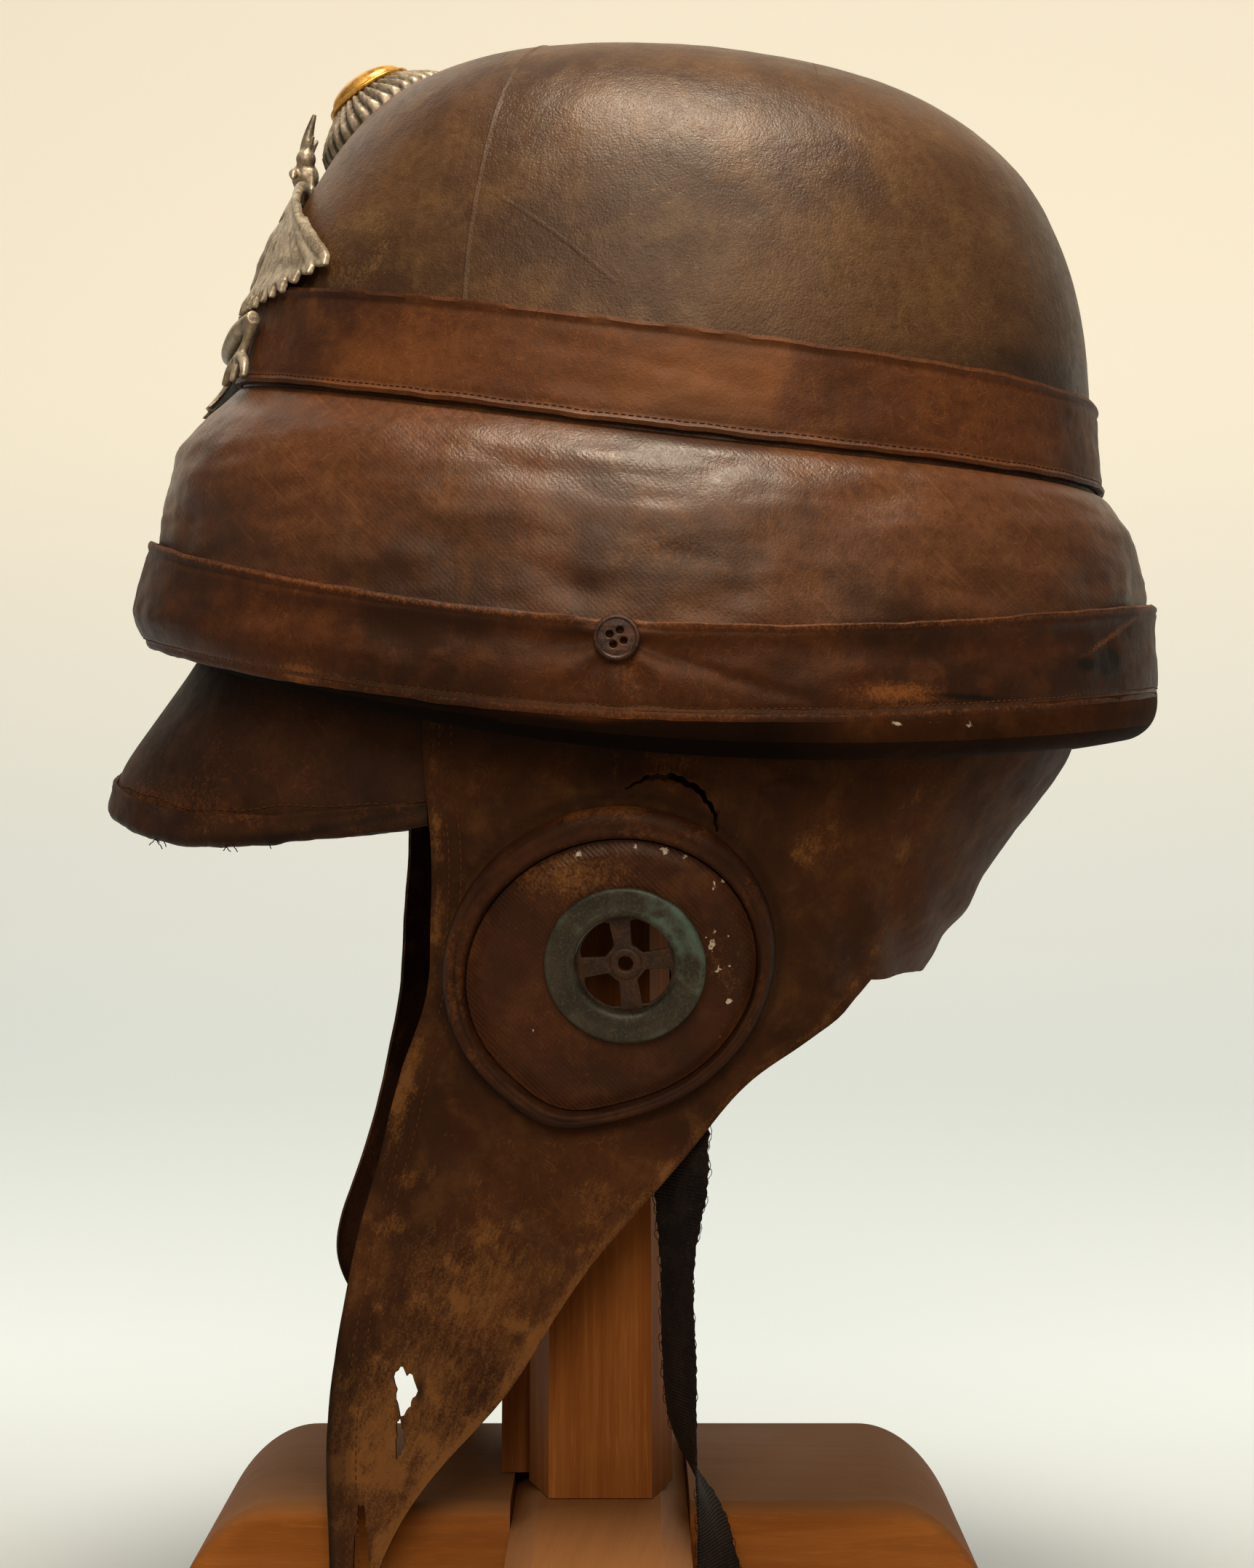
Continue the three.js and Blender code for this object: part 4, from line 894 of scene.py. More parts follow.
def make_roll():
    inside = section(ROLL_INSIDE, turns(ROLL_AROUND))
    mesh_data = loft_mesh(np.concatenate([roll_outer(), inside]), closed=True)
    piece = add_piece("padded_roll", mesh_data, ROLL_HIDE)
    x, y, z = places_of(piece).T
    # Painted shadow under the rim, deep at the front and sides and faint at the back
    under_rim = step_up(np.interp(y, [-130, 0, 150], [312, 292, 297]) - z, -1.5, 2.5)
    painted_shadow_under_rim = (0.9 - 0.85 * step_up(y, 45, 90)) * under_rim
    mark(piece,
         wear=spots(((0.4, 20, 337, 22, 8), (0.15, 62, 348, 30, 10)), y, z) + 0.05,
         dark=painted_shadow_under_rim + spots([(0.3, -70, 335, 30, 8)], y, z) + painted_end_shade(y),
         pale=spots(FLAKES, y, z) * (x > 0),
         shine=0.75 * step_up(z, 335, 370))
    line_below(piece)
    dress(piece, "roll_leather", "bumper")


def rim_puckers(points):
    """Creases that run from the button, and a few long dents."""
    across = points[..., 1] - BUTTON["y"]
    up = points[..., 2] - BUTTON["z"]
    angle = np.arctan2(up, across)
    rays = np.sin(angle * 7 + 0.6) * bump_at(np.hypot(across, up * 1.6) - 14, 13)
    fold = bump_at(up + 0.12 * across - 2.0, 2.2) * bump_at(across + 42, 36)
    second = bump_at(up + 0.3 * across + 1.5, 2.0) * bump_at(across - 30, 22)
    return np.where(points[..., 0] > 0, 0.75 * rays + fold - second, 0.5 * rays)


# Marks on the near side of the rim, as rows for spots: rubbed patches and small holes

RIM_WEAR = ((0.8, 84, 299, 13, 3.2), (0.5, 12, 303, 5, 9), (0.65, -82, 305, 5, 4))
RIM_HOLES = ((2.0, 145, 309, 2.4, 2.8), (1.5, 138, 308, 2.2, 1.3))


def make_rim():
    moved, inner, normals = band_mesh(RIM, 38, 460, (0.55, 0.2), 0.8, 31, rim_puckers)
    piece = add_piece("rim_strap", sheet_mesh(moved, inner, closed=True), RIM_HIDE)
    points = places_of(piece)
    x, y, z = points.T
    near = step_up(x, 0, 20)
    scratch = 0.75 * bump_at((y - 147) - (z - 317.5) * 1.33, 1.7) * bump_at(z - 317, 8)
    bottom = np.interp(y, [-148, -60, 10, 100, 163], [317.5, 301, 292, 294, 300])
    edges = 0.35 * bump_at(z - bottom, 2.2) + 0.5 * top_edge(RIM[0], x, y, z)
    crack = spots([(0.9, 103, 298, 10, 0.9)], y, z + 0.06 * (y - 103))
    mark(piece,
         wear=near * (spots(RIM_WEAR, y, z) + scratch) + edges + 0.1,
         dark=near * (spots(RIM_HOLES, y, z) + crack) + spots([(0.25, 40, 303, 22, 7)], y, z) + painted_end_shade(y),
         shine=0.35 + 0.4 * cloud(points, 30, 34))
    dress(piece, "band_leather", "rim_band")
    stitch_round("rim_stitches", (moved, normals), -5, 1.9, 1.35, TAN_THREAD)


# Seams of the crown: a lap of leather and fine ridges laid on the skin, as rows of across and lift

LAP = ((-3.6, -0.25), (-1.2, 0.02), (-0.3, 0.24), (0.0, 0.3), (0.25, 0.12), (0.4, -0.3))
CREASE = ((-1.8, -0.25), (-0.8, 0.0), (0.0, 0.11), (0.8, 0.0), (1.8, -0.25))
FAINT_CREASE = ((-1.6, -0.25), (-0.7, -0.03), (0.0, 0.03), (0.7, -0.03), (1.6, -0.25))
OVER_CROWN = ((-38, -19, LAP), (-46, -27, FAINT_CREASE), (66, 58, FAINT_CREASE))
SEAM_END = 0.02
SEAM_LEVEL = 404.0
FAR_OUT = 300.0


def cast_line(starts, directions):
    """Where a line of rays meets the crown, and the crown's normals there."""
    hits = [cast(crown_skin, start, direction) for start, direction in zip(starts, directions)]
    return [np.array(column) for column in zip(*hits)]


def over_crown(y_side, y_top, count=90):
    """A line over the crown from side to side."""
    turn = np.linspace(SEAM_END, math.pi - SEAM_END, count)
    outward = np.stack([np.cos(turn), 0 * turn, np.sin(turn)], axis=1)
    y = y_side + (y_top - y_side) * np.sin(turn) ** 2
    start = np.stack([0 * turn, y, np.full(count, SEAM_LEVEL)], axis=1) + outward * FAR_OUT
    return cast_line(start, -outward)


def short_crease(count=24):
    """A line on the left side of the crown that runs back and down."""
    share = np.linspace(0, 1, count)
    z = 440 - 26 * share + np.sin(share * math.pi)
    start = np.stack([np.full(count, FAR_OUT), -27 + 33 * share, z], axis=1)
    return cast_line(start, np.tile([-1.0, 0.0, 0.0], (count, 1)))


def make_seams():
    parts = [swept(*over_crown(y_side, y_top), profile) for y_side, y_top, profile in OVER_CROWN]
    parts.append(swept(*short_crease(), CREASE))
    piece = add_piece("crown_seams", joined(parts), CROWN_HIDE, 80)
    mark(piece, wear=0.05, dark=0.22, shine=0.3)
    dress(piece, "crown_leather")


# Peak, its binding and a few loose threads


def peak_grid(shares, places):
    """Points of the peak's outer face. share runs down the slope, place from the far to the near end."""
    reach, narrow = smooth(PEAK_REACH[:, 0], PEAK_REACH[:, 1:], shares).T[:, :, None]
    right_end = -np.arccos((PEAK_SIDE_Y - PEAK_RIGHT_Y) / reach) / QUARTER
    turn = right_end + (1 - right_end) * np.asarray(places)[None, :]
    shares = np.asarray(shares)[:, None]
    cap_z = PEAK_CAP_HEIGHT - PEAK_CAP_FALL * shares[:, 0]
    side_x = cap_side(np.full(len(cap_z), PEAK_SIDE_Y), cap_z)[:, None] - PEAK_SIDE_INSET - narrow
    x = side_x * np.sin(turn * QUARTER)
    y = PEAK_SIDE_Y - reach * np.cos(turn * QUARTER)
    top = height_on(ROLL[ROLL_UNDERSIDE], x, y) - 0.5
    low = smooth(PEAK_LOWER[:, 0], PEAK_LOWER[:, 1], np.abs(turn).ravel()).reshape(turn.shape)
    return np.stack([x, y, top + (low - top) * shares], axis=2)


def peak_surface(shares, places):
    """The peak's outer face with its dents, and its normals."""
    grid = peak_grid(shares, places)
    normals = grid_normals(grid)
    fade = step_up(np.asarray(shares), 0.0, 0.3)[:, None]
    return grid + normals * (0.55 * cloud(grid, 42, 41) * fade)[..., None], normals


PLACES = np.linspace(0, 1, 190)
PEAK_STITCH_ROW = 37


def make_peak():
    outer, normals = peak_surface(np.linspace(0, 1, 46), PLACES)
    piece = add_piece("peak_hide", sheet_mesh(outer, outer - normals * PEAK_THICKNESS), PEAK_HIDE)
    points = places_of(piece)
    x, y, z = points.T
    under = height_on(ROLL[ROLL_UNDERSIDE], x, y) - z
    mark(piece,
         wear=0.18 + 0.25 * cloud(points, 20, 42) + 0.35 * bump_at(under - 44, 5),
         # Painted shadow on the peak just under the roll
         dark=0.75 * (1 - step_up(under, 0.0, 13.0)),
         shine=0.35)
    dress(piece, "band_leather", "peak")
    wave = np.sin(PLACES * 31) * 0.7 + np.sin(PLACES * 74 + 1) * 0.35
    path = outer[PEAK_STITCH_ROW] + wave[:, None] * UP
    threads = stitches(path, normals[PEAK_STITCH_ROW], 2.7, 2.1, 0.6, 0.1)
    dress(add_piece("peak_stitches", threads, TAN_THREAD), "band_leather")


BINDING_STEPS = 13
BINDING_TURN_STEPS = 9


def binding_faces():
    """The bound edge: down outside the peak, round its lower edge and up inside."""
    shares = np.linspace(1 - BINDING_SHARE, 1, BINDING_STEPS)
    outer, normals = peak_surface(shares, PLACES)
    middle = outer - normals * PEAK_THICKNESS / 2
    down = unit(outer[-1] - outer[-3])
    skins = []
    for radius in (PEAK_THICKNESS / 2 + 1.35, PEAK_THICKNESS / 2 + 0.35):
        turned = [middle[-1] + normals[-1] * radius * math.cos(angle) + down * radius * math.sin(angle)
                  for angle in np.linspace(0, math.pi, BINDING_TURN_STEPS + 2)[1:-1]]
        inside = middle - normals * radius
        skins.append(np.concatenate([middle + normals * radius, np.array(turned), inside[::-1]]))
    return skins


def make_binding():
    outside, inside = binding_faces()
    last = len(outside) - 1
    rows = np.arange(last + 1)[:, None]
    free = step_up(rows, 0, 3) * step_up(-rows, -last, 3 - last)
    lift = 0.55 * cloud(outside * np.array([1.0, 1.0, 0.6]), 9, 43) + 0.5 * cloud(outside, 26, 44)
    lift = lift * free + 0.35 * bump_at(rows - 1.5, 1.6)
    moved = outside + unit(outside - inside) * lift[..., None]
    moved[0, :, 2] += 0.5 * cloud(outside[0], 8, 45)
    piece = add_piece("peak_edge", sheet_mesh(moved, inside), PEAK_HIDE)
    points = places_of(piece)
    _, y, z = points.T
    low = np.interp(y, [-165, -150, -125, -95, -50], [260, 258, 257, 258, 267])
    mark(piece,
         wear=0.22 + spots([(0.5, -108, 264, 12, 3)], y, z) + 0.45 * cloud(points, 9, 46),
         dark=0.6 * bump_at(z - low, 2.2) + 0.2 * bump_at(y + 96, 8),
         shine=0.3)
    dress(piece, "band_leather", "peak_binding")


# Threads frayed off the peak: place along, length and turn

FRAYS = (
    (-137.0, 4.5, 0.4), (-136.0, 3.4, -0.9), (-139.5, 4.0, 1.3), (-134.0, 2.6, 0.1),
    (-112.0, 3.0, 0.9), (-110.5, 2.4, -0.5), (-109.6, 2.8, 0.3), (-98.0, 2.0, 0.6),
)
FRAY_STEPS = 9
THREAD_HINT = (0.31, 0.83, 0.47)


def thread_line(start, turn, length, seed):
    """A loose thread that curls a little as it falls."""
    points = [np.array(start, float)]
    heading = turn
    for step in range(FRAY_STEPS):
        heading += 0.5 * math.sin(seed * 2.3 + step * 1.7)
        side = math.sin(seed + step * 0.9) * 0.25
        move = np.array([side, math.sin(heading), -math.cos(heading)]) * length / FRAY_STEPS
        points.append(points[-1] + move)
    return np.array(points)


def make_peak_frays():
    edge = peak_grid([1.0], PLACES)[0]
    near = edge[edge[:, 0] > 0]
    threads = []
    for number, (y, length, turn) in enumerate(FRAYS):
        start = near[np.argmin(np.abs(near[:, 1] - y))] + np.array([0.8, 0.0, -1.6])
        threads.append(tube(thread_line(start, turn, length, number), 0.16, THREAD_HINT, 5))
    dress(add_piece("peak_frays", joined(threads), THREAD, 180), "band_leather")


# The inner cap: an ear flap on each side, joined by the nape


FLAP_ROWS = 165
ROWS_ABOVE_HEM = 62
FLAP_COLUMNS = 74
NAPE_COLUMNS = 44
CAP_TOP = 322.0
CAP_LOW = 24.0
HEM = 6.5


def flap_heights():
    """Heights of the flap's rows, and the row at the hem of the nape."""
    above = np.linspace(CAP_TOP, NAPE_HEM, ROWS_ABOVE_HEM)
    below = np.linspace(NAPE_HEM, CAP_LOW, FLAP_ROWS - ROWS_ABOVE_HEM + 1)[1:]
    return np.concatenate([above, below]), ROWS_ABOVE_HEM - 1


def flap_surface(edge_column):
    """The outer face on the left side, as a grid from the front edge to the middle of the nape."""
    heights, hem_row = flap_heights()
    rows = cap_row(heights)
    start = cap_angle(rows, rows[:, edge_column])
    fold = cap_angle(rows, rows[:, REAR_FOLD])
    line = [cap_points(rows, start + (fold - start) * share) for share in np.linspace(0, 1, FLAP_COLUMNS)]
    line += [cap_points(rows, fold + (math.pi - fold) * share)
             for share in np.linspace(0, 1, NAPE_COLUMNS + 1)[1:]]
    grid = np.stack(line, axis=1)
    cells = np.ones((len(heights) - 1, grid.shape[1] - 1), bool)
    cells[hem_row:, FLAP_COLUMNS - 1:] = False
    return grid, cells


def flap_fold(y, z, width):
    """The long fold that crosses the flap below the ear piece."""
    return bump_at((z - 147) + (y + 18) * 0.86, width) * bump_at(y + 20, 26)


def flap_lift(grid, near):
    """Dents, folds and the hem, as a height over the plain face."""
    _, y, z = np.moveaxis(grid, 2, 0)
    free = step_up(np.hypot(y - EAR["y"], z - EAR["z"]), 49, 66)
    lift = (1.3 * cloud(grid, 62, 51) + 0.5 * cloud(grid, 21, 52)) * free + 0.14 * cloud(grid, 7, 53)
    ripples = np.sin((y - 60) * 0.42 + (z - 217) * 0.06) * step_up(y, 56, 80) * step_up(-z, -262, -222)
    curl = 2.0 * step_up(-z, -75, -30) * bump_at(y + 74, 10)
    edge = np.linalg.norm(np.diff(grid, axis=1), axis=2)
    from_front = np.concatenate([np.zeros((len(grid), 1)), np.cumsum(edge, axis=1)], axis=1)
    hem = 0.75 * (1 - step_up(from_front, HEM, HEM + 1.2)) + 0.35 * bump_at(from_front - 0.9, 0.9)
    from_rear = from_front[:, FLAP_COLUMNS - 1:FLAP_COLUMNS] - from_front
    rear_hem = (1 - step_up(from_rear, 4.5, 5.5)) * step_up(from_rear, -0.5, 0.0)
    hem = hem + 0.5 * rear_hem * step_up(-z, -NAPE_HEM, 4 - NAPE_HEM)
    lip = 1.3 * bump_at(np.hypot(y - TEAR["y"], z - TEAR["z"]) - 14.5, 2.4) * step_up(z, 264, 270)
    torn = 0.9 * bump_at(np.hypot((y + 58) / 5, (z - 90) / 14) - 1, 0.5)
    marks = (lip + torn) if near else 0.0
    return lift - 1.5 * flap_fold(y, z, 6.0) + 0.8 * ripples + curl + hem + marks, from_front


TEAR = {"y": 19.0, "z": 262.0, "radius": 15.0, "first": -0.1, "last": 2.35, "width": 1.5}
TEAR_STEPS = 30
RAGGED_POINTS = 26
RAGGED_WAVES = ((0.2, 3, 1), (0.12, 7, 2), (0.08, 13, 3))


def ragged_loop(y, z, size, stretch, seed):
    """The outline of a worn hole."""
    loop = []
    for turn in turns(RAGGED_POINTS):
        rough = 1
        for depth, waves, shift in RAGGED_WAVES:
            rough += depth * math.sin(waves * turn + shift * seed)
        loop.append((y + size * rough * math.cos(turn), z + size * rough * stretch * math.sin(turn)))
    return loop


def tear_loop():
    """The outline of the curved tear over the ear, which narrows to its ends."""
    outside = []
    inside = []
    for step in range(TEAR_STEPS + 1):
        share = step / TEAR_STEPS
        turn = TEAR["first"] + (TEAR["last"] - TEAR["first"]) * share
        rough = 0.35 * math.sin(step * 2.1) + 0.25 * math.sin(step * 5.3)
        thick = TEAR["width"] * (0.25 + math.sin(math.pi * share))
        for loop, reach in ((outside, rough), (inside, rough * 0.6 - thick)):
            reach += TEAR["radius"]
            loop.append((TEAR["y"] + reach * math.cos(turn), TEAR["z"] + reach * math.sin(turn)))
    return outside + inside[::-1]


def side_prism(loop):
    """A closed prism through the left side, to cut a hole of this outline."""
    return loft_mesh(np.array([[(x, y, z) for y, z in loop] for x in (55.0, 125.0)]))


def ear_axis(size):
    """A closed cylinder through the ear piece, to cut its hole."""
    loops = [[grommet_centre + ear_normal * reach + ear_forward * size * math.cos(turn)
              + ear_up * size * math.sin(turn) for turn in turns(48)] for reach in (-20.0, 20.0)]
    return loft_mesh(np.array(loops))


ear_normal = np.array([math.cos(EAR["tilt"]), 0.0, -math.sin(EAR["tilt"])])
ear_up = np.array([math.sin(EAR["tilt"]), 0.0, math.cos(EAR["tilt"])])
ear_forward = np.array([0.0, 1.0, 0.0])


def on_flap(forward, up, lift):
    """Points over the flap at the ear, by distance back, distance up and height."""
    y = EAR["y"] + np.asarray(forward, float)
    z = EAR["z"] + np.asarray(up, float) * math.cos(EAR["tilt"])
    x = cap_side(y.ravel(), z.ravel()).reshape(y.shape)
    return np.stack([x, y, z], axis=-1) + np.asarray(lift)[..., None] * ear_normal


grommet_centre = on_flap(np.array([GROMMET["forward"]]), np.array([GROMMET["up"]]),
                         np.array([EAR_SEAT + ROUNDEL_LIFT + GROMMET["seat"]]))[0]


def cut_away(piece, cutter_data):
    """Cuts a closed mesh out of a piece."""
    cutter = add_piece("cutter", cutter_data, LINING)
    modifier = piece.modifiers.new("cut", "BOOLEAN")
    modifier.operation = "DIFFERENCE"
    modifier.solver = "EXACT"
    modifier.object = cutter
    applied(piece)
    bpy.data.objects.remove(cutter)


def applied(piece):
    """Turns a piece's modifiers into its mesh."""
    graph = bpy.context.evaluated_depsgraph_get()
    result = bpy.data.meshes.new_from_object(piece.evaluated_get(graph))
    piece.modifiers.clear()
    piece.data = result


def line_inside(piece):
    """Gives the lining to the faces that look inwards."""
    level = face_values(piece, "center")[:, :2] / MM - MIDDLE
    reline(piece, np.sum(face_values(piece, "normal")[:, :2] * level, axis=1) < 0, LINING)


# Holes in the near flap: place along, height, size, stretch in height and seed

FLAP_HOLES = ((-58.5, 97.5, 3.1, 2.1, 1), (-60.0, 83.0, 1.2, 4.4, 2), (-71.5, 52.0, 2.2, 4.6, 3))

# Rubbed places and the torn lip, as rows for spots

FLAP_WEAR = ((0.3, -62, 84, 18, 26), (0.6, 60, 257, 7, 6), (0.22, -38, 128, 30, 26), (0.2, -58, 170, 12, 24))
TORN_LIP = ((0.7, -54.0, 98, 1.8, 7), (0.7, -59, 88, 2.5, 3))


def mark_flap(piece, edge_column):
    """Where a flap is rubbed, dirty, shiny and painted with shade."""
    points = places_of(piece)
    _, y, z = points.T
    from_edge = y - np.interp(z, CAP[::-1, 0], CAP[::-1, edge_column])
    from_rear = np.interp(z, CAP[::-1, 0], CAP[::-1, REAR_FOLD]) - y
    wear = 0.6 * bump_at(from_edge - 2.0, 2.4) * (0.7 + cloud(points, 12, 54)) * step_up(z, 130, 190)
    wear += 0.25 * bump_at(from_rear - 2.5, 2.0) + 0.25 * bump_at(from_rear - 1.0, 1.6)
    wear += 0.4 * step_up(-z, -190, -110) + spots(FLAP_WEAR, y, z)
    wear += 0.25 * cloud(points, 34, 55) + 0.35 * step_up(cloud(points, 9, 57), 0.2, 0.6)
    # Painted shade under the rim, and along the lower side of the fold below the ear piece
    under_rim = 1 - step_up(np.interp(y, [-60, 10, 100, 160], [296, 288, 290, 300]) - z, 2.0, 17.0)
    dark = 0.7 * under_rim + spots(TORN_LIP, y, z) + 0.3 * flap_fold(y, z + 4.0, 4.0)
    dark += 0.5 * bump_at(from_edge, 1.6) * step_up(-z, -160, -120)
    dark += 0.55 * bump_at(from_edge - 4, 5) * step_up(-z, -125, -95)
    # Painted shadow on the flap just outside the welt
    dark += 0.5 * bump_at(ear_reach(y, z) - 1.03, 0.045)
    mark(piece, wear=wear, dark=dark, shine=0.2 + 0.2 * cloud(points, 30, 56))


def flap_stitches(outer, normals, from_front):
    """Two rows of stitches beside the hem."""
    parts = []
    for distance in (HEM - 1.0, HEM + 2.4):
        path = []
        line = []
        for row in range(12, len(outer) - 2):
            column = np.interp(distance, from_front[row], np.arange(from_front.shape[1]))
            low = int(column)
            share = column - low
            path.append(outer[row, low] * (1 - share) + outer[row, low + 1] * share)
            line.append(normals[row, low])
        parts.append(stitches(path, np.array(line), 2.4, 1.7, STITCH_WIDTH, 0.05))
    return joined(parts)


def make_flap(side, edge_column, name, node):
    near = side > 0
    grid, cells = flap_surface(edge_column)
    normals = grid_normals(grid)
    lift, from_front = flap_lift(grid, near)
    outer = grid + normals * lift[..., None]
    inner = outer - normals * THIN_LEATHER
    for face in (inner, outer):
        face[..., 0] = np.maximum(face[..., 0], 0.05)
    piece = add_piece(name, on_side(side, sheet_mesh(outer, inner, cells=cells)), FLAP_HIDE)
    holes = [ear_axis(GROMMET["barrel"] + 0.6)]
    if near:
        holes += [side_prism(ragged_loop(*hole)) for hole in FLAP_HOLES]
        holes.append(side_prism(tear_loop()))
    cut_away(piece, on_side(side, joined(holes)))
    line_inside(piece)
    mark_flap(piece, edge_column)
    dress(piece, "flap_leather", node)
    threads = on_side(side, flap_stitches(outer, normals, from_front))
    dress(add_piece(name + "_stitches", threads, TAN_THREAD), "flap_leather")


# Ear pieces: padded welt, leather disc, eyelet with spokes


WELT_AROUND = 170
POINT_TURN = 4.5
INNER_OVAL = {"forward": 0.8, "up": -2.2, "length": 41.6, "height": 39.4, "slant": 0.12}


def oval(angles, length, height, slant, forward=0.0, up=0.0, inset=0.0):
    """An oval that leans forward at its foot and comes to a soft point there."""
    point = 1 + 0.07 * bump_at(angles - POINT_TURN, 0.3)
    rise = (height - inset) * point * np.sin(angles)
    return forward + (length - inset) * point * np.cos(angles) + slant * rise, up + rise


def ear_reach(y, z):
    """Distance from the middle of the ear piece, as a share of the welt's outline."""
    up = z - EAR["z"]
    return np.hypot((y - EAR["y"] - EAR["slant"] * up) / RING["length"], up / RING["height"])


# Profile of the welt: share of its width inwards, and share of its height

WELT_PROFILE = (
    (0.0, 0.0), (0.02, 0.35), (0.08, 0.7), (0.2, 0.93), (0.36, 1.0), (0.5, 0.94), (0.58, 0.9),
    (0.68, 0.98), (0.8, 0.92), (0.92, 0.66), (0.98, 0.3), (1.0, 0.0), (0.66, -0.05), (0.33, -0.05),
)
WELT_WEAR = ((0.55, -2, 267, 26, 5), (0.3, -43, 215, 4, 30))


def make_welt(side, name, node):
    angles = turns(WELT_AROUND)
    out_y, out_z = oval(angles, slant=EAR["slant"], **RING)
    in_y, in_z = oval(angles, **INNER_OVAL)
    rough = cloud(np.stack([out_y, out_z, 0 * out_y], axis=1), 12, 61) * 0.35
    tall = 2.2 + 0.3 * np.hypot(out_y - in_y, out_z - in_z) + rough
    loops = [on_flap(out_y + (in_y - out_y) * share, out_z + (in_z - out_z) * share,
                     EAR_SEAT - 0.2 + tall * height) for share, height in WELT_PROFILE]
    mesh_data = loft_mesh(np.stack(loops, axis=1), closed=True)
    piece = add_piece(name, on_side(side, mesh_data), EAR_HIDE, 70)
    points = places_of(piece)
    _, y, z = points.T
    reach = ear_reach(y, z)
    # Painted shade on the welt's outer edge and in the groove inside it
    edge = 0.55 * step_up(reach, 0.965, 1.0) + 0.45 * bump_at(reach - 0.915, 0.012)
    mark(piece,
         wear=0.14 + 0.45 * cloud(points, 9, 62) + spots(WELT_WEAR, y, z),
         dark=0.15 + 0.2 * cloud(points, 18, 63) + edge,
         shine=0.3)
    dress(piece, "ear_leather", node)


# White specks along the top of the disc: place along, height and radius

SPECKS = (
    (-5.2, 254.3, 1.3), (4.2, 256.3, 0.8), (10.9, 256.5, 1.0), (14.5, 256.4, 0.7), (19.4, 255.4, 1.5),
    (24.9, 253.4, 1.1), (35.5, 246.5, 0.8), (-19.5, 204.0, 0.8),
)
# Rubbed places on the disc, as rows for spots; the first, at the top left, is a painted highlight on the
# weave
DISC_WEAR_AND_HIGHLIGHT = ((0.6, -11, 250, 18, 9), (0.3, 36, 212, 7, 22))


def make_roundel(side, name, node):
    angles = turns(WELT_AROUND)
    shares = np.concatenate([np.linspace(0, 0.9, 26), [0.94, 0.97, 0.99, 1.0]])
    edge_y, edge_z = oval(angles, inset=0.4, **INNER_OVAL)
    hole = GROMMET["barrel"] + 0.4
    hole_y = GROMMET["forward"] + hole * np.cos(angles)
    hole_z = GROMMET["up"] + hole * np.sin(angles)
    rows = []
    for share in shares:
        height = EAR_SEAT + ROUNDEL_LIFT * (1 - 0.62 * step_up(share, 0.8, 1.0)) - 0.3
        rows.append(on_flap(hole_y + (edge_y - hole_y) * share, hole_z + (edge_z - hole_z) * share,
                            np.full(len(angles), height)))
    grid = np.array(rows)
    settle = step_up(shares, 0.15, 0.5)[:, None] * step_up(-shares, -1.0, -0.9)[:, None]
    dents = (0.5 * cloud(grid, 22, 64) + 0.15 * cloud(grid, 8, 65)) * settle
    mesh_data = sheet_mesh(grid + ear_normal * dents[..., None], grid - ear_normal * 1.4, closed=True)
    piece = add_piece(name, on_side(side, mesh_data), ROUNDEL_HIDE, 60)
    points = places_of(piece)
    _, y, z = points.T
    rough = 0.5 * cloud(points, 2.0, 66)
    chips = sum(bump_at(np.hypot(y - chip_y, z - chip_z) + rough, size) for chip_y, chip_z, size in SPECKS)
    right = cloud(points, 3.4, 67) * spots([(1, 34, 222, 8, 26)], y, z)
    mark(piece,
         pale=chips + 0.75 * step_up(right, 0.16, 0.4),
         wear=0.1 + 0.25 * cloud(points, 16, 68) + spots(DISC_WEAR_AND_HIGHLIGHT, y, z),
         dark=spots([(0.2, -20, 205, 12, 12)], y, z),
         shine=0.3 + spots([(0.7, -10, 250, 16, 8)], y, z))
    dress(piece, "ear_leather", node)


def lathe_mesh(profile, sides):
    """A closed profile of radius and height turned round the Z axis."""
    loops = [[(radius * math.cos(turn), radius * math.sin(turn), height) for radius, height in profile]
             for turn in turns(sides)]
    return loft_mesh(np.array(loops), closed=True)


def plate_mesh(loops, thickness, bevel):
    """A flat plate with holes and softened edges. The first loop is its outline."""
    curve = bpy.data.curves.new("plate", "CURVE")
    curve.dimensions = "2D"
    curve.fill_mode = "BOTH"
    curve.extrude = thickness / 2 - bevel
    curve.bevel_depth = bevel
    curve.bevel_resolution = 2
    curve.offset = -bevel
    for loop in loops:
        spline = curve.splines.new("POLY")
        spline.points.add(len(loop) - 1)
        spline.points.foreach_set("co", [value for x, y in loop for value in (x, y, 0.0, 1.0)])
        spline.use_cyclic_u = True
    holder = bpy.data.objects.new("plate", curve)
    bpy.context.scene.collection.objects.link(holder)
    graph = bpy.context.evaluated_depsgraph_get()
    mesh = bpy.data.meshes.new_from_object(holder.evaluated_get(graph))
    points = np.array([vertex.co[:] for vertex in mesh.vertices])
    faces = [list(face.vertices) for face in mesh.polygons]
    bpy.data.objects.remove(holder)
    bpy.data.meshes.remove(mesh)
    return points, faces


def circle(radius, count, x=0.0, y=0.0):
    return [(x + radius * math.cos(turn), y + radius * math.sin(turn)) for turn in turns(count)]


SPOKE_TURN = 0.12
SPOKE_HALF = 2.3
WINDOW = {"inner": 5.6, "outer": 13.6, "flare": 0.09}


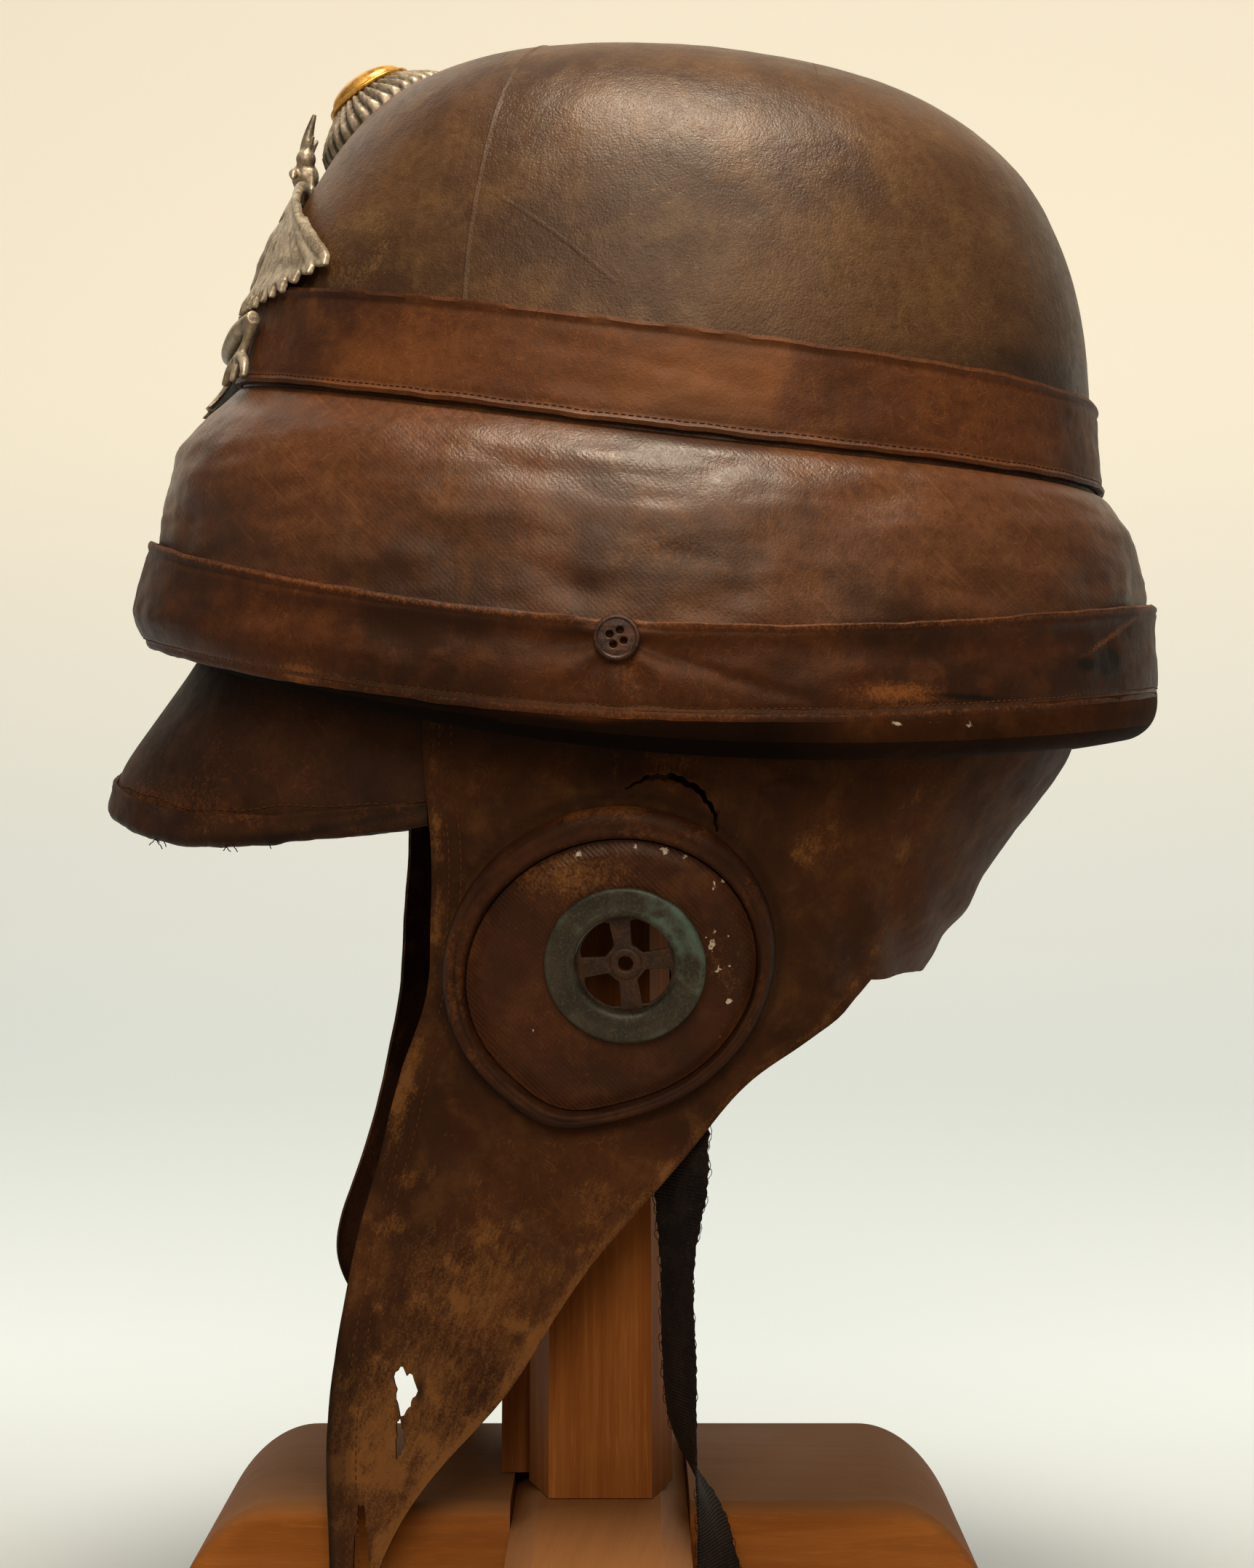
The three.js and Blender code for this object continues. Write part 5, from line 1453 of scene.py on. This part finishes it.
def spoke_window(middle):
    """The outline of one of the four openings between the spokes."""
    loop = []
    outer_half = math.pi / 4 - math.asin((SPOKE_HALF + 0.9) / WINDOW["outer"])
    inner_half = math.pi / 4 - math.asin(SPOKE_HALF / WINDOW["inner"])
    for step in range(17):
        turn = middle - outer_half + 2 * outer_half * step / 16
        reach = WINDOW["outer"] - 1.1 * abs(2 * step / 16 - 1) ** 6
        loop.append((reach * math.cos(turn), reach * math.sin(turn)))
    for step in range(9):
        turn = middle + inner_half - 2 * inner_half * step / 8
        reach = WINDOW["inner"] + 0.5 * abs(2 * step / 8 - 1) ** 4
        loop.append((reach * math.cos(turn), reach * math.sin(turn)))
    return loop


def make_grommet(side, name, node):
    outer = GROMMET["outer"]
    inner = GROMMET["inner"]
    barrel = GROMMET["barrel"]
    depth = GROMMET["depth"]
    profile = [
        (inner, -depth), (barrel, -depth), (barrel, -0.4), (outer - 0.5, -0.6), (outer, -0.1),
        (outer, 0.7), (outer - 0.4, 1.25), (outer - 1.2, 1.5), (outer - 2.2, 1.35), (outer - 4.0, 1.15),
        (barrel + 2.6, 1.2), (barrel + 1.2, 1.5), (barrel + 0.2, 1.45), (inner + 0.4, 0.9), (inner, 0.2),
    ]
    windows = [spoke_window(SPOKE_TURN + math.pi / 4 + index * QUARTER) for index in range(4)]
    points, faces = plate_mesh([circle(inner + 0.5, 72), circle(2.2, 20), *windows], 1.3, 0.28)
    wheel = points + np.array([0.0, 0.0, -depth + 0.9]), faces
    collar = lathe_mesh([(2.2, -depth + 0.4), (4.6, -depth + 0.4), (4.5, -depth + 2.0), (4.0, -depth + 2.3),
                         (2.7, -depth + 2.3), (2.25, -depth + 2.0)], 40)
    meshes = [placed(data, grommet_centre, ear_forward, ear_up, ear_normal)
              for data in (lathe_mesh(profile, 96), joined([wheel, collar]))]
    piece = add_piece(name, on_side(side, meshes[0]), VERDIGRIS, 50)
    _, y, z = places_of(piece).T
    reach = np.hypot(y - grommet_centre[1], (z - grommet_centre[2]) / math.cos(EAR["tilt"]))
    # Paler along the raised edges: verdigris and a painted edge highlight
    edges = bump_at(reach - outer + 1.0, 0.9) + bump_at(reach - barrel - 1.0, 0.7)
    mark(piece, pale=spots([(0.55, 24, 232, 13, 13)], y, z) + 0.12 + 0.25 * edges)
    dress(piece, "verdigris_brass", node)
    dress(add_piece(name + "_wheel", on_side(side, meshes[1]), WHEEL_METAL, 50), "verdigris_brass")


# Buttons


BUTTON_HOLE_REACH = 2.1
BUTTON_HOLE_TURN = 1.135


def make_button(side, name, node):
    radius = BUTTON["radius"]
    holes = [circle(1.0, 16, BUTTON_HOLE_REACH * math.cos(turn), BUTTON_HOLE_REACH * math.sin(turn))
             for turn in turns(4) + BUTTON_HOLE_TURN]
    disc = plate_mesh([circle(radius - 0.6, 56), *holes], 1.3, 0.3)
    rim = lathe_mesh([(radius - 1.5, 0.1), (radius - 1.4, 0.75), (radius - 0.9, 1.05), (radius - 0.35, 0.9),
                      (radius, 0.3), (radius - 0.1, -0.5), (radius - 1.0, -0.6)], 56)
    outward = section(RIM[[1]], np.array([QUARTER]))[0, 0, 0]
    centre = np.array([outward + 1.2, BUTTON["y"], BUTTON["z"]])
    mesh_data = placed(joined([disc, rim]), centre, ear_forward, UP, np.array([1.0, 0.0, 0.0]))
    dress(add_piece(name, on_side(side, mesh_data), BUTTON_METAL, 40), "button_iron", node)


# Badge: an eagle with lowered wings, laid on the front of the crown


BADGE_RADIUS = 106.0
NECK_HEIGHT = 460.0


def on_front(across, height, lift):
    """A point over the front of the crown, by distance round it and height."""
    turn = across / BADGE_RADIUS
    outward = np.array([math.sin(turn), -math.cos(turn), 0.0])
    start = outward * 260 + np.array([0.0, 0.0, min(height, NECK_HEIGHT)])
    point, _ = cast(crown_skin, start, -outward)
    point[2] = height
    over_band = 2.0 * step_up(-height, -428, -421)
    lowered = max(402.0 - height, 0.0) / 10.0
    return point + outward * (2.4 + over_band + lift + 4.6 * lowered ** 2)


# Body of the bird: height, half width and crest

BODY = np.array([
    [468, 4.2, 2.6], [463, 4.4, 2.8], [458, 6.5, 4.0], [450, 10.5, 5.8], [441, 12.0, 6.0], [430, 10.5, 5.2],
    [420, 7.5, 4.0], [412, 6.0, 3.0], [405, 9.5, 2.4], [397, 14.0, 1.6], [391, 16.0, 1.0],
])


def feather_row(roots, tips, count, half):
    """Evenly spread feathers: root across and up, tip across and up, half width."""
    places = np.linspace(0, 1, count)
    knots = np.linspace(0, 1, len(roots))
    columns = [np.interp(places, knots, values) for values in (*np.transpose(roots), *np.transpose(tips))]
    return np.stack([*columns, np.full(count, half)], axis=1)


PRIMARIES = feather_row([(8, 452), (20, 453), (32, 450), (44, 446), (55, 442)],
                        [(10, 421), (27, 418), (46, 417), (63, 419), (80, 425)], 13, 2.8)
COVERTS = feather_row([(8, 456), (20, 457), (32, 453), (44, 448)],
                      [(11, 438), (26, 436), (42, 436), (59, 437)], 9, 2.7)
SMALL = feather_row([(8, 459), (20, 459), (32, 455)], [(11, 449), (25, 447), (39, 446)], 6, 2.5)
TAIL = np.array([
    [-2, 410, -13, 391, 3.2], [0, 410, -6, 389, 3.4], [0, 410, 0, 388, 3.4], [0, 410, 6, 389, 3.4],
    [2, 410, 13, 391, 3.2],
])

# Each row of wing feathers with its base and crest

WING_ROWS = ((PRIMARIES, 0.6, 1.0), (COVERTS, 1.2, 0.7), (SMALL, 1.8, 0.6))
FEATHER_STEPS = 11
FEATHER_PLACES = 8


def feather_mesh(feather, base, crest, side=1):
    """One long plate with a rounded tip and a ridge down its middle."""
    root = feather[:2]
    tip = feather[2:4]
    ahead = unit(tip - root)
    across = np.array([-ahead[1], ahead[0]])
    loops = []
    for share in np.linspace(0, 1, FEATHER_STEPS):
        past = max(share - 0.72, 0) / 0.28
        girth = feather[4] * (0.72 + 0.28 * min(share / 0.4, 1)) * math.sqrt(max(1 - past ** 2.4, 0.012))
        top = []
        bottom = []
        for place in np.linspace(-1, 1, FEATHER_PLACES):
            spot = root + (tip - root) * share + across * girth * place
            ridge = crest * math.sqrt(max(1 - place * place, 0)) * (1 - 0.3 * share)
            height = base + ridge - 0.45 * bump_at(place + 0.2, 0.16) + 0.45 * place
            top.append(on_front(side * spot[0], spot[1], height + 0.5))
            bottom.append(on_front(side * spot[0], spot[1], base - 0.9))
        loops.append(top + bottom[::-1])
    return loft_mesh(np.array(loops))


BALL_RINGS = 10
BALL_SIDES = 16


def ball_mesh(centre, radii):
    loops = []
    for step in range(BALL_RINGS + 1):
        turn = math.pi * (0.02 + 0.96 * step / BALL_RINGS)
        ring = [(math.sin(turn) * math.cos(side), math.sin(turn) * math.sin(side), math.cos(turn))
                for side in turns(BALL_SIDES)]
        loops.append(centre + np.array(ring) * radii)
    return loft_mesh(np.array(loops))


def body_mesh():
    """The bird's body, with small waves for its feathers."""
    heights = np.linspace(BODY[0, 0], BODY[-1, 0], 34)
    across = np.linspace(-1, 1, 13)
    loops = []
    for z, (half, crest) in zip(heights, smooth(BODY[::-1, 0], BODY[::-1, 1:], heights)):
        base = 1.0 + 0.25 * math.sin(z * 1.9)
        top = [on_front(half * place, z, base + crest * math.sqrt(max(1 - place * place, 0)))
               for place in across]
        loops.append(top + [on_front(half * place, z, 0.0) for place in across[::-1]])
    return loft_mesh(np.array(loops))


# Limbs of the bird on the left side, each with its radii: distance round, height and lift of its points

WING_EDGE = ((6, 460, 2.4), (22, 459, 2.2), (38, 453, 2.0), (58, 441, 1.6), (79, 427, 1.0))
THIGH = ((5, 408, 1.0), (17, 406, 0.9), (28, 407, 1.4), (38, 411, 1.2), (47, 414, 0.6))
SHIN = ((46, 413, 0.4), (44, 407, 0.0), (42, 403, 0.4))
TOES = [((42, 403, 0.4), (42 + claw, 399, 1.0), (42 + 1.3 * claw, 395, 0.0)) for claw in (-6, 1, 8)]
LIMBS = [(WING_EDGE, [2.2, 1.7, 1.4, 1.1, 0.6]), (THIGH, [2.6, 2.3, 2.8, 3.0, 2.3]), (SHIN, [2.2, 1.4, 1.7])]
LIMBS += [(toe, [1.8, 1.5, 1.0]) for toe in TOES]

# Beak, crest and two spurs on the head, from its middle, each with its radii

HEAD_PARTS = [
    ([(0.0, -2.0, 1.0), (4.0, -3.0, 0.5), (6.8, -2.6, -1.8)], [2.2, 1.6, 0.5]),
    ([(0.0, 0.0, 4.0), (0.0, 0.6, 11.0), (0.0, 3.0, 20.0)], [2.4, 2.0, 0.7]),
    ([(0.0, 0.0, 5.0), (-2.0, 1.5, 9.0), (-3.5, 3.4, 12.5)], [1.8, 1.3, 0.5]),
    ([(0.0, 0.0, 5.0), (2.0, 1.5, 9.0), (3.5, 3.4, 12.5)], [1.8, 1.3, 0.5]),
]
LIMB_HINT = (0.2, 1.0, 0.1)
HEAD_HINT = (0.9, 0.3, 0.1)


def eagle_parts():
    """The closed solids that are fused into the bird."""
    parts = [body_mesh()]
    for side in (1, -1):
        for feathers, base, crest in WING_ROWS:
            parts += [feather_mesh(feather, base, crest, side) for feather in feathers]
        for path, radii in LIMBS:
            points = [on_front(side * across, height, lift) for across, height, lift in path]
            parts.append(limb(points, radii, LIMB_HINT, 18))
    parts += [feather_mesh(feather, 0.6, 1.1) for feather in TAIL]
    head = on_front(0, 466, 3.2)
    parts.append(ball_mesh(head, (4.6, 4.4, 5.2)))
    parts.append(ball_mesh(head + np.array([1.5, 0.5, 5.5]), (3.4, 3.2, 3.4)))
    parts += [limb(head + np.array(path), radii, HEAD_HINT, 12) for path, radii in HEAD_PARTS]
    return parts


def make_eagle():
    piece = add_piece("eagle_cast", joined(eagle_parts()), SILVER, 60)
    remesh = piece.modifiers.new("fuse", "REMESH")
    remesh.mode = "VOXEL"
    remesh.voxel_size = 0.48 * MM
    applied(piece)
    piece.data.shade_smooth()
    points = places_of(piece)
    x, _, z = points.T
    # Painted shade on the middle of the body, from below the wings down
    body = bump_at(x, 9) * step_up(-z, -452, -440)
    hollow = 0.3 * cloud(points, 6, 71) + 0.5 * cloud(points * np.array([1.0, 1.0, 0.3]), 2.2, 72)
    mark(piece, dark=0.1 + 0.8 * body + hollow + 0.6 * step_up(z, 474, 482))
    dress(piece, "badge_silver", "eagle_badge")


# Cockade: a fluted ring and a gilt dome


COCKADE = {"y": -76.8, "z": 484.0, "lean": 0.552, "flutes": 36, "swirl": 0.16}
cockade_normal = np.array([0.0, -math.sin(COCKADE["lean"]), math.cos(COCKADE["lean"])])
cockade_across = np.array([1.0, 0.0, 0.0])
cockade_up = np.cross(cockade_normal, cockade_across)
cockade_centre = np.array([0.0, COCKADE["y"], COCKADE["z"]])

# Profile of the ring: radius, lift, share of the flutes and share of the crown's fall that is filled

COCKADE_PROFILE = np.array([
    [24.2, 0.3, 0.0, 0.0], [24.4, 1.0, 0.7, 0.25], [23.6, 1.8, 0.9, 0.5], [21.0, 3.7, 1.0, 0.58],
    [18.0, 5.6, 1.0, 0.62], [15.0, 7.3, 0.9, 0.7], [13.0, 8.4, 0.4, 0.8], [12.4, 8.0, 0.0, 0.8],
    [12.5, 5.2, 0.0, 0.8], [18.0, 2.2, 0.0, 0.4],
])
DOME_FOOT = ((0.02, 0.0), (14.0, 0.0), (14.4, 0.5), (14.2, 1.2), (13.2, 1.6))
DOME_STEPS = 14


def cockade_point(radius, angle, lift, level):
    """A point of the ring over the crown. level is how much of the crown's fall is filled."""
    flat = cockade_centre + cockade_across * radius * math.cos(angle) + cockade_up * radius * math.sin(angle)
    seat, _ = cast(crown_skin, flat + cockade_normal * 100, -cockade_normal)
    drop = np.dot(cockade_centre - seat, cockade_normal)
    return seat + cockade_normal * (lift + level * drop)


def flute_wave(angle, radius):
    """1 on the ridge of a flute and 0 in its groove. The flutes swirl a little."""
    return np.abs(np.cos(COCKADE["flutes"] * (angle + COCKADE["swirl"] * (24 - radius) / 12) / 2))


def make_cockade_ring():
    loops = []
    for angle in turns(COCKADE["flutes"] * 12):
        loop = []
        for radius, lift, flute, level in COCKADE_PROFILE:
            ridge = (flute_wave(angle, radius) - 0.6) * 2.1 * flute
            loop.append(cockade_point(radius + 0.2 * ridge, angle, lift + ridge, level))
        loops.append(loop)
    piece = add_piece("cockade_fluted", loft_mesh(np.array(loops), closed=True), SILVER, 50)
    points = places_of(piece)
    _, y, z = points.T
    flat = points - cockade_centre
    across = flat @ cockade_across
    up = flat @ cockade_up
    radius = np.hypot(across, up)
    # Darker in the grooves between the flutes: tarnish, and painted shade
    groove = 1 - step_up(flute_wave(np.arctan2(up, across), radius), 0.3, 0.85)
    mark(piece, dark=0.95 * groove * step_up(radius, 13, 14.5) + spots([(0.6, -97, 468, 7, 9)], y, z))
    dress(piece, "badge_silver", "cockade_ring")


def make_cockade_dome():
    profile = list(DOME_FOOT)
    for turn in np.arange(DOME_STEPS + 1) / DOME_STEPS * QUARTER:
        profile.append((12.6 * math.cos(turn) + 0.02, 1.7 + 5.4 * math.sin(turn)))
    rises = [np.dot(cockade_point(12.5, turn, 8.2, 0.8) - cockade_centre, cockade_normal)
             for turn in turns(20)]
    seat = cockade_centre + cockade_normal * (max(rises) + 0.2)
    dome = placed(lathe_mesh(profile, 72), seat, cockade_across, cockade_up, cockade_normal)
    dress(add_piece("cockade_dome", dome, GILT, 60), "gilt", "cockade_boss")


# Ribbon


RIBBON_ROWS = 150
RIBBON_COLUMNS = 17
RIBBON_HALF_THICKNESS = 0.3


def edge_threads(outer, along, through):
    """Small loops of thread that stand off both edges of the ribbon."""
    loops = []
    for column, sign in ((0, -1), (-1, 1)):
        for row in range(2, RIBBON_ROWS - 4, 2):
            size = 0.5 + 0.45 * abs(math.sin(row * 1.3 + column))
            start = outer[row, column]
            after = outer[row + 2, column]
            out = along[row] * sign * size + through[row] * 0.4 * math.sin(row)
            between = (start + after) / 2
            path = np.array([start, start + out * 0.9, between + out * 1.3, after + out * 0.8, after])
            loops.append(tube(path, 0.13, THREAD_HINT, 4))
    return joined(loops)


def make_ribbon():
    knots = chords(RIBBON_ROUTE[:, :3])
    rows = smooth(knots, RIBBON_ROUTE, np.linspace(0, knots[-1], RIBBON_ROWS))
    turn = np.radians(rows[:, 3])
    along = np.stack([np.sin(turn), np.cos(turn), 0 * turn], axis=1)
    through = np.stack([np.cos(turn), -np.sin(turn), 0 * turn], axis=1)
    middle = np.stack([rows[:, 1], rows[:, 2], rows[:, 0]], axis=1)
    shares = np.linspace(-1, 1, RIBBON_COLUMNS)
    edge_wave = 0.35 * np.sin(rows[:, 0] * 1.9) + 0.25 * np.sin(rows[:, 0] * 0.7)
    across = shares * (RIBBON_WIDTH / 2 + edge_wave)[:, None]
    cup = 1.1 * np.sin(shares * 2.2) * np.cos(rows[:, 0] / 26)[:, None]
    flat = middle[:, None] + along[:, None] * across[..., None]
    outer, inner = (flat + through[:, None] * (cup + lift)[..., None]
                    for lift in (RIBBON_HALF_THICKNESS, -RIBBON_HALF_THICKNESS))
    piece = add_piece("ribbon_silk", sheet_mesh(outer, inner), RIBBON_SILK, 60)
    dress(piece, "ribbon_cloth", "ribbon")
    fringe = add_piece("ribbon_frays", edge_threads(outer, along, through), RIBBON_THREAD, 180)
    dress(fringe, "ribbon_cloth")


# The stand


STAND_TURN = math.radians(5)
BAR = {"height": 60.0, "half_depth": 59.5, "flat": 90.0, "round": 37.0, "x": -9.0, "y": -13.0, "edge": 5.5}
BAR_STEPS = 32
BAR_SHARP = 35
CROSS = {"half_width": 26.5, "y": -8.0}
PLAY = 0.3


def stand_turned(mesh_data):
    """A mesh turned with the stand."""
    points, faces = mesh_data
    cosine = math.cos(STAND_TURN)
    sine = math.sin(STAND_TURN)
    x, y, z = np.asarray(points).T
    return np.stack([x * cosine - y * sine, x * sine + y * cosine, z], axis=1), faces


def make_base_bar():
    stations = [(-BAR["half_depth"] + BAR["edge"] * (1 - math.cos(turn)), BAR["edge"] * (1 - math.sin(turn)))
                for turn in np.linspace(0, QUARTER, 7)]
    stations += [(-x, inset) for x, inset in stations[::-1]]
    steps = range(BAR_STEPS + 1)
    loops = []
    for x, inset in stations:
        loop = []
        for end, order in ((1, steps), (-1, steps[::-1])):
            for step in order:
                turn = step / BAR_STEPS * QUARTER
                y = BAR["y"] + end * (BAR["flat"] + (BAR["round"] - inset) * math.cos(turn))
                loop.append((BAR["x"] + x, y, (BAR["height"] - inset) * math.sin(turn)))
        loops.append(loop)
    piece = add_piece("base_bar_wood", stand_turned(loft_mesh(np.array(loops))), BASE_WOOD, BAR_SHARP)
    half = CROSS["half_width"] + PLAY
    low = BAR["height"] / 2
    high = BAR["height"] * 1.5
    ends = [[(x, CROSS["y"] + half * a, z) for a, z in ((-1, low), (1, low), (1, high), (-1, high))]
            for x in (-100.0, 100.0)]
    cut_away(piece, stand_turned(loft_mesh(np.array(ends))))
    piece.data.set_sharp_from_angle(angle=math.radians(BAR_SHARP))
    points = places_of(piece)
    # The bar's top face is greyed: wear, dust and painted shade
    mark(piece, wear=0.5 * step_up(points[:, 2], 53, 60) + 0.15 * cloud(points, 40, 81))
    dress(piece, "pine", "base_bar")


# How far the edges of the plain wooden nodes are rounded, and their material

PLAIN_WOOD = {"cross_bar": (2.0, CROSS_WOOD), "post_front": (1.2, POST_WOOD), "post_rear": (1.2, POST_WOOD),
              "head_block": (0.0, POST_WOOD)}


def dress_plain_wood():
    for node, (size, material) in PLAIN_WOOD.items():
        piece = frame_nodes[node]
        piece.data.materials.clear()
        piece.data.materials.append(material)
        if size:
            bevel = piece.modifiers.new("worn_edges", "BEVEL")
            bevel.width = size * MM
            bevel.segments = 3
            bevel.limit_method = "ANGLE"
            bevel.angle_limit = math.radians(30)
            bevel.harden_normals = True


make_crown()
make_crown_band()
make_roll()
make_rim()
make_seams()
make_peak()
make_binding()
make_peak_frays()
make_flap(1, NEAR_EDGE, "ear_flap_left", "flap_left")
make_flap(-1, FAR_EDGE, "ear_flap_right", "flap_right")
for side, word in ((1, "left"), (-1, "right")):
    make_welt(side, "ear_welt_" + word, "ear_ring_" + word)
    make_roundel(side, "ear_disc_" + word, "ear_roundel_" + word)
    make_grommet(side, "eyelet_" + word, "grommet_" + word)
    make_button(side, "four_hole_button_" + word, "button_" + word)
make_eagle()
make_cockade_ring()
make_cockade_dome()
make_ribbon()
make_base_bar()
dress_plain_wood()

# Stage, light and camera

FLOOR_FRONT = 2200.0
FLOOR_HALF = 2600.0
FLOOR_LEVEL = -0.5
BEND = 700.0
BEND_STEPS = 16
WALL = -2300.0
WALL_TOP = 3200.0


def wall_paint():
    """A pale wall with painted light: it glows a little, cool below and warm above, and is darker towards the
    camera.
    """
    paint = Paint("studio_wall")
    height = paint.part(paint.place, "Z")
    near = paint.band(paint.part(paint.place, "X"), -0.55, 0.4)
    colour = paint.mix(paint.band(height, -0.1, 0.9), tone(190, 196, 192), tone(226, 212, 186))
    glow = paint.mix(paint.band(height, -0.1, 0.7), tone(204, 210, 208), tone(232, 224, 206))
    paint.feed(paint.shader.inputs["Emission Color"], paint.mix(near, glow, tone(84, 76, 66)))
    paint.shader.inputs["Emission Strength"].default_value = 0.55
    return paint.finish(paint.mix(near, colour, tone(126, 116, 102)), 0.9)


def make_stage():
    line = [(FLOOR_FRONT, 0.0)]
    for angle in np.linspace(0, QUARTER, BEND_STEPS + 1):
        line.append((WALL + BEND - BEND * math.sin(angle), BEND - BEND * math.cos(angle)))
    line.append((WALL, WALL_TOP))
    points = [(x, side, z + FLOOR_LEVEL) for side in (-FLOOR_HALF, FLOOR_HALF) for x, z in line]
    faces = [[step, step + 1, len(line) + step + 1, len(line) + step] for step in range(len(line) - 1)]
    floor = add_piece("studio_floor", (np.array(points), faces), wall_paint(), 180)


def add_light(name, place, aim, size, power, colour):
    light = bpy.data.lights.new(name, "AREA")
    light.shape = "DISK"
    light.size = size
    light.energy = power
    light.color = colour
    lamp = bpy.data.objects.new(name, light)
    lamp.location = place
    direction = Vector(aim) - Vector(place)
    lamp.rotation_euler = direction.to_track_quat("-Z", "Y").to_euler()
    bpy.context.scene.collection.objects.link(lamp)


def make_lights():
    add_light("ceiling_light", (0.42, 0.08, 1.9), (0.05, 0.02, 0.4), 0.6, 33.0, (1.0, 0.94, 0.84))
    add_light("room_light", (1.9, 0.1, 1.35), (0.0, 0.0, 0.25), 1.1, 23.0, (1.0, 0.91, 0.79))
    add_light("rear_light", (-1.2, -0.9, 1.5), (0.0, 0.0, 0.35), 1.0, 1.5, (1.0, 0.95, 0.88))
    world = bpy.data.worlds.new("pale_room")
    world.use_nodes = True
    world.node_tree.nodes["Background"].inputs["Color"].default_value = (0.92, 0.85, 0.76, 1.0)
    world.node_tree.nodes["Background"].inputs["Strength"].default_value = 0.19
    bpy.context.scene.world = world
    bpy.context.scene.view_settings.view_transform = "Standard"


def make_camera():
    data = bpy.data.cameras.new("photo_camera")
    data.sensor_fit = "VERTICAL"
    data.sensor_height = CAMERA["sensor"]
    data.lens = CAMERA["lens"]
    camera = bpy.data.objects.new("photo_camera", data)
    camera.location = Vector(CAMERA["place"]) * MM
    camera.rotation_euler = (QUARTER, 0.0, math.radians(CAMERA["turn"]))
    bpy.context.scene.collection.objects.link(camera)
    bpy.context.scene.camera = camera


make_stage()
make_lights()
make_camera()
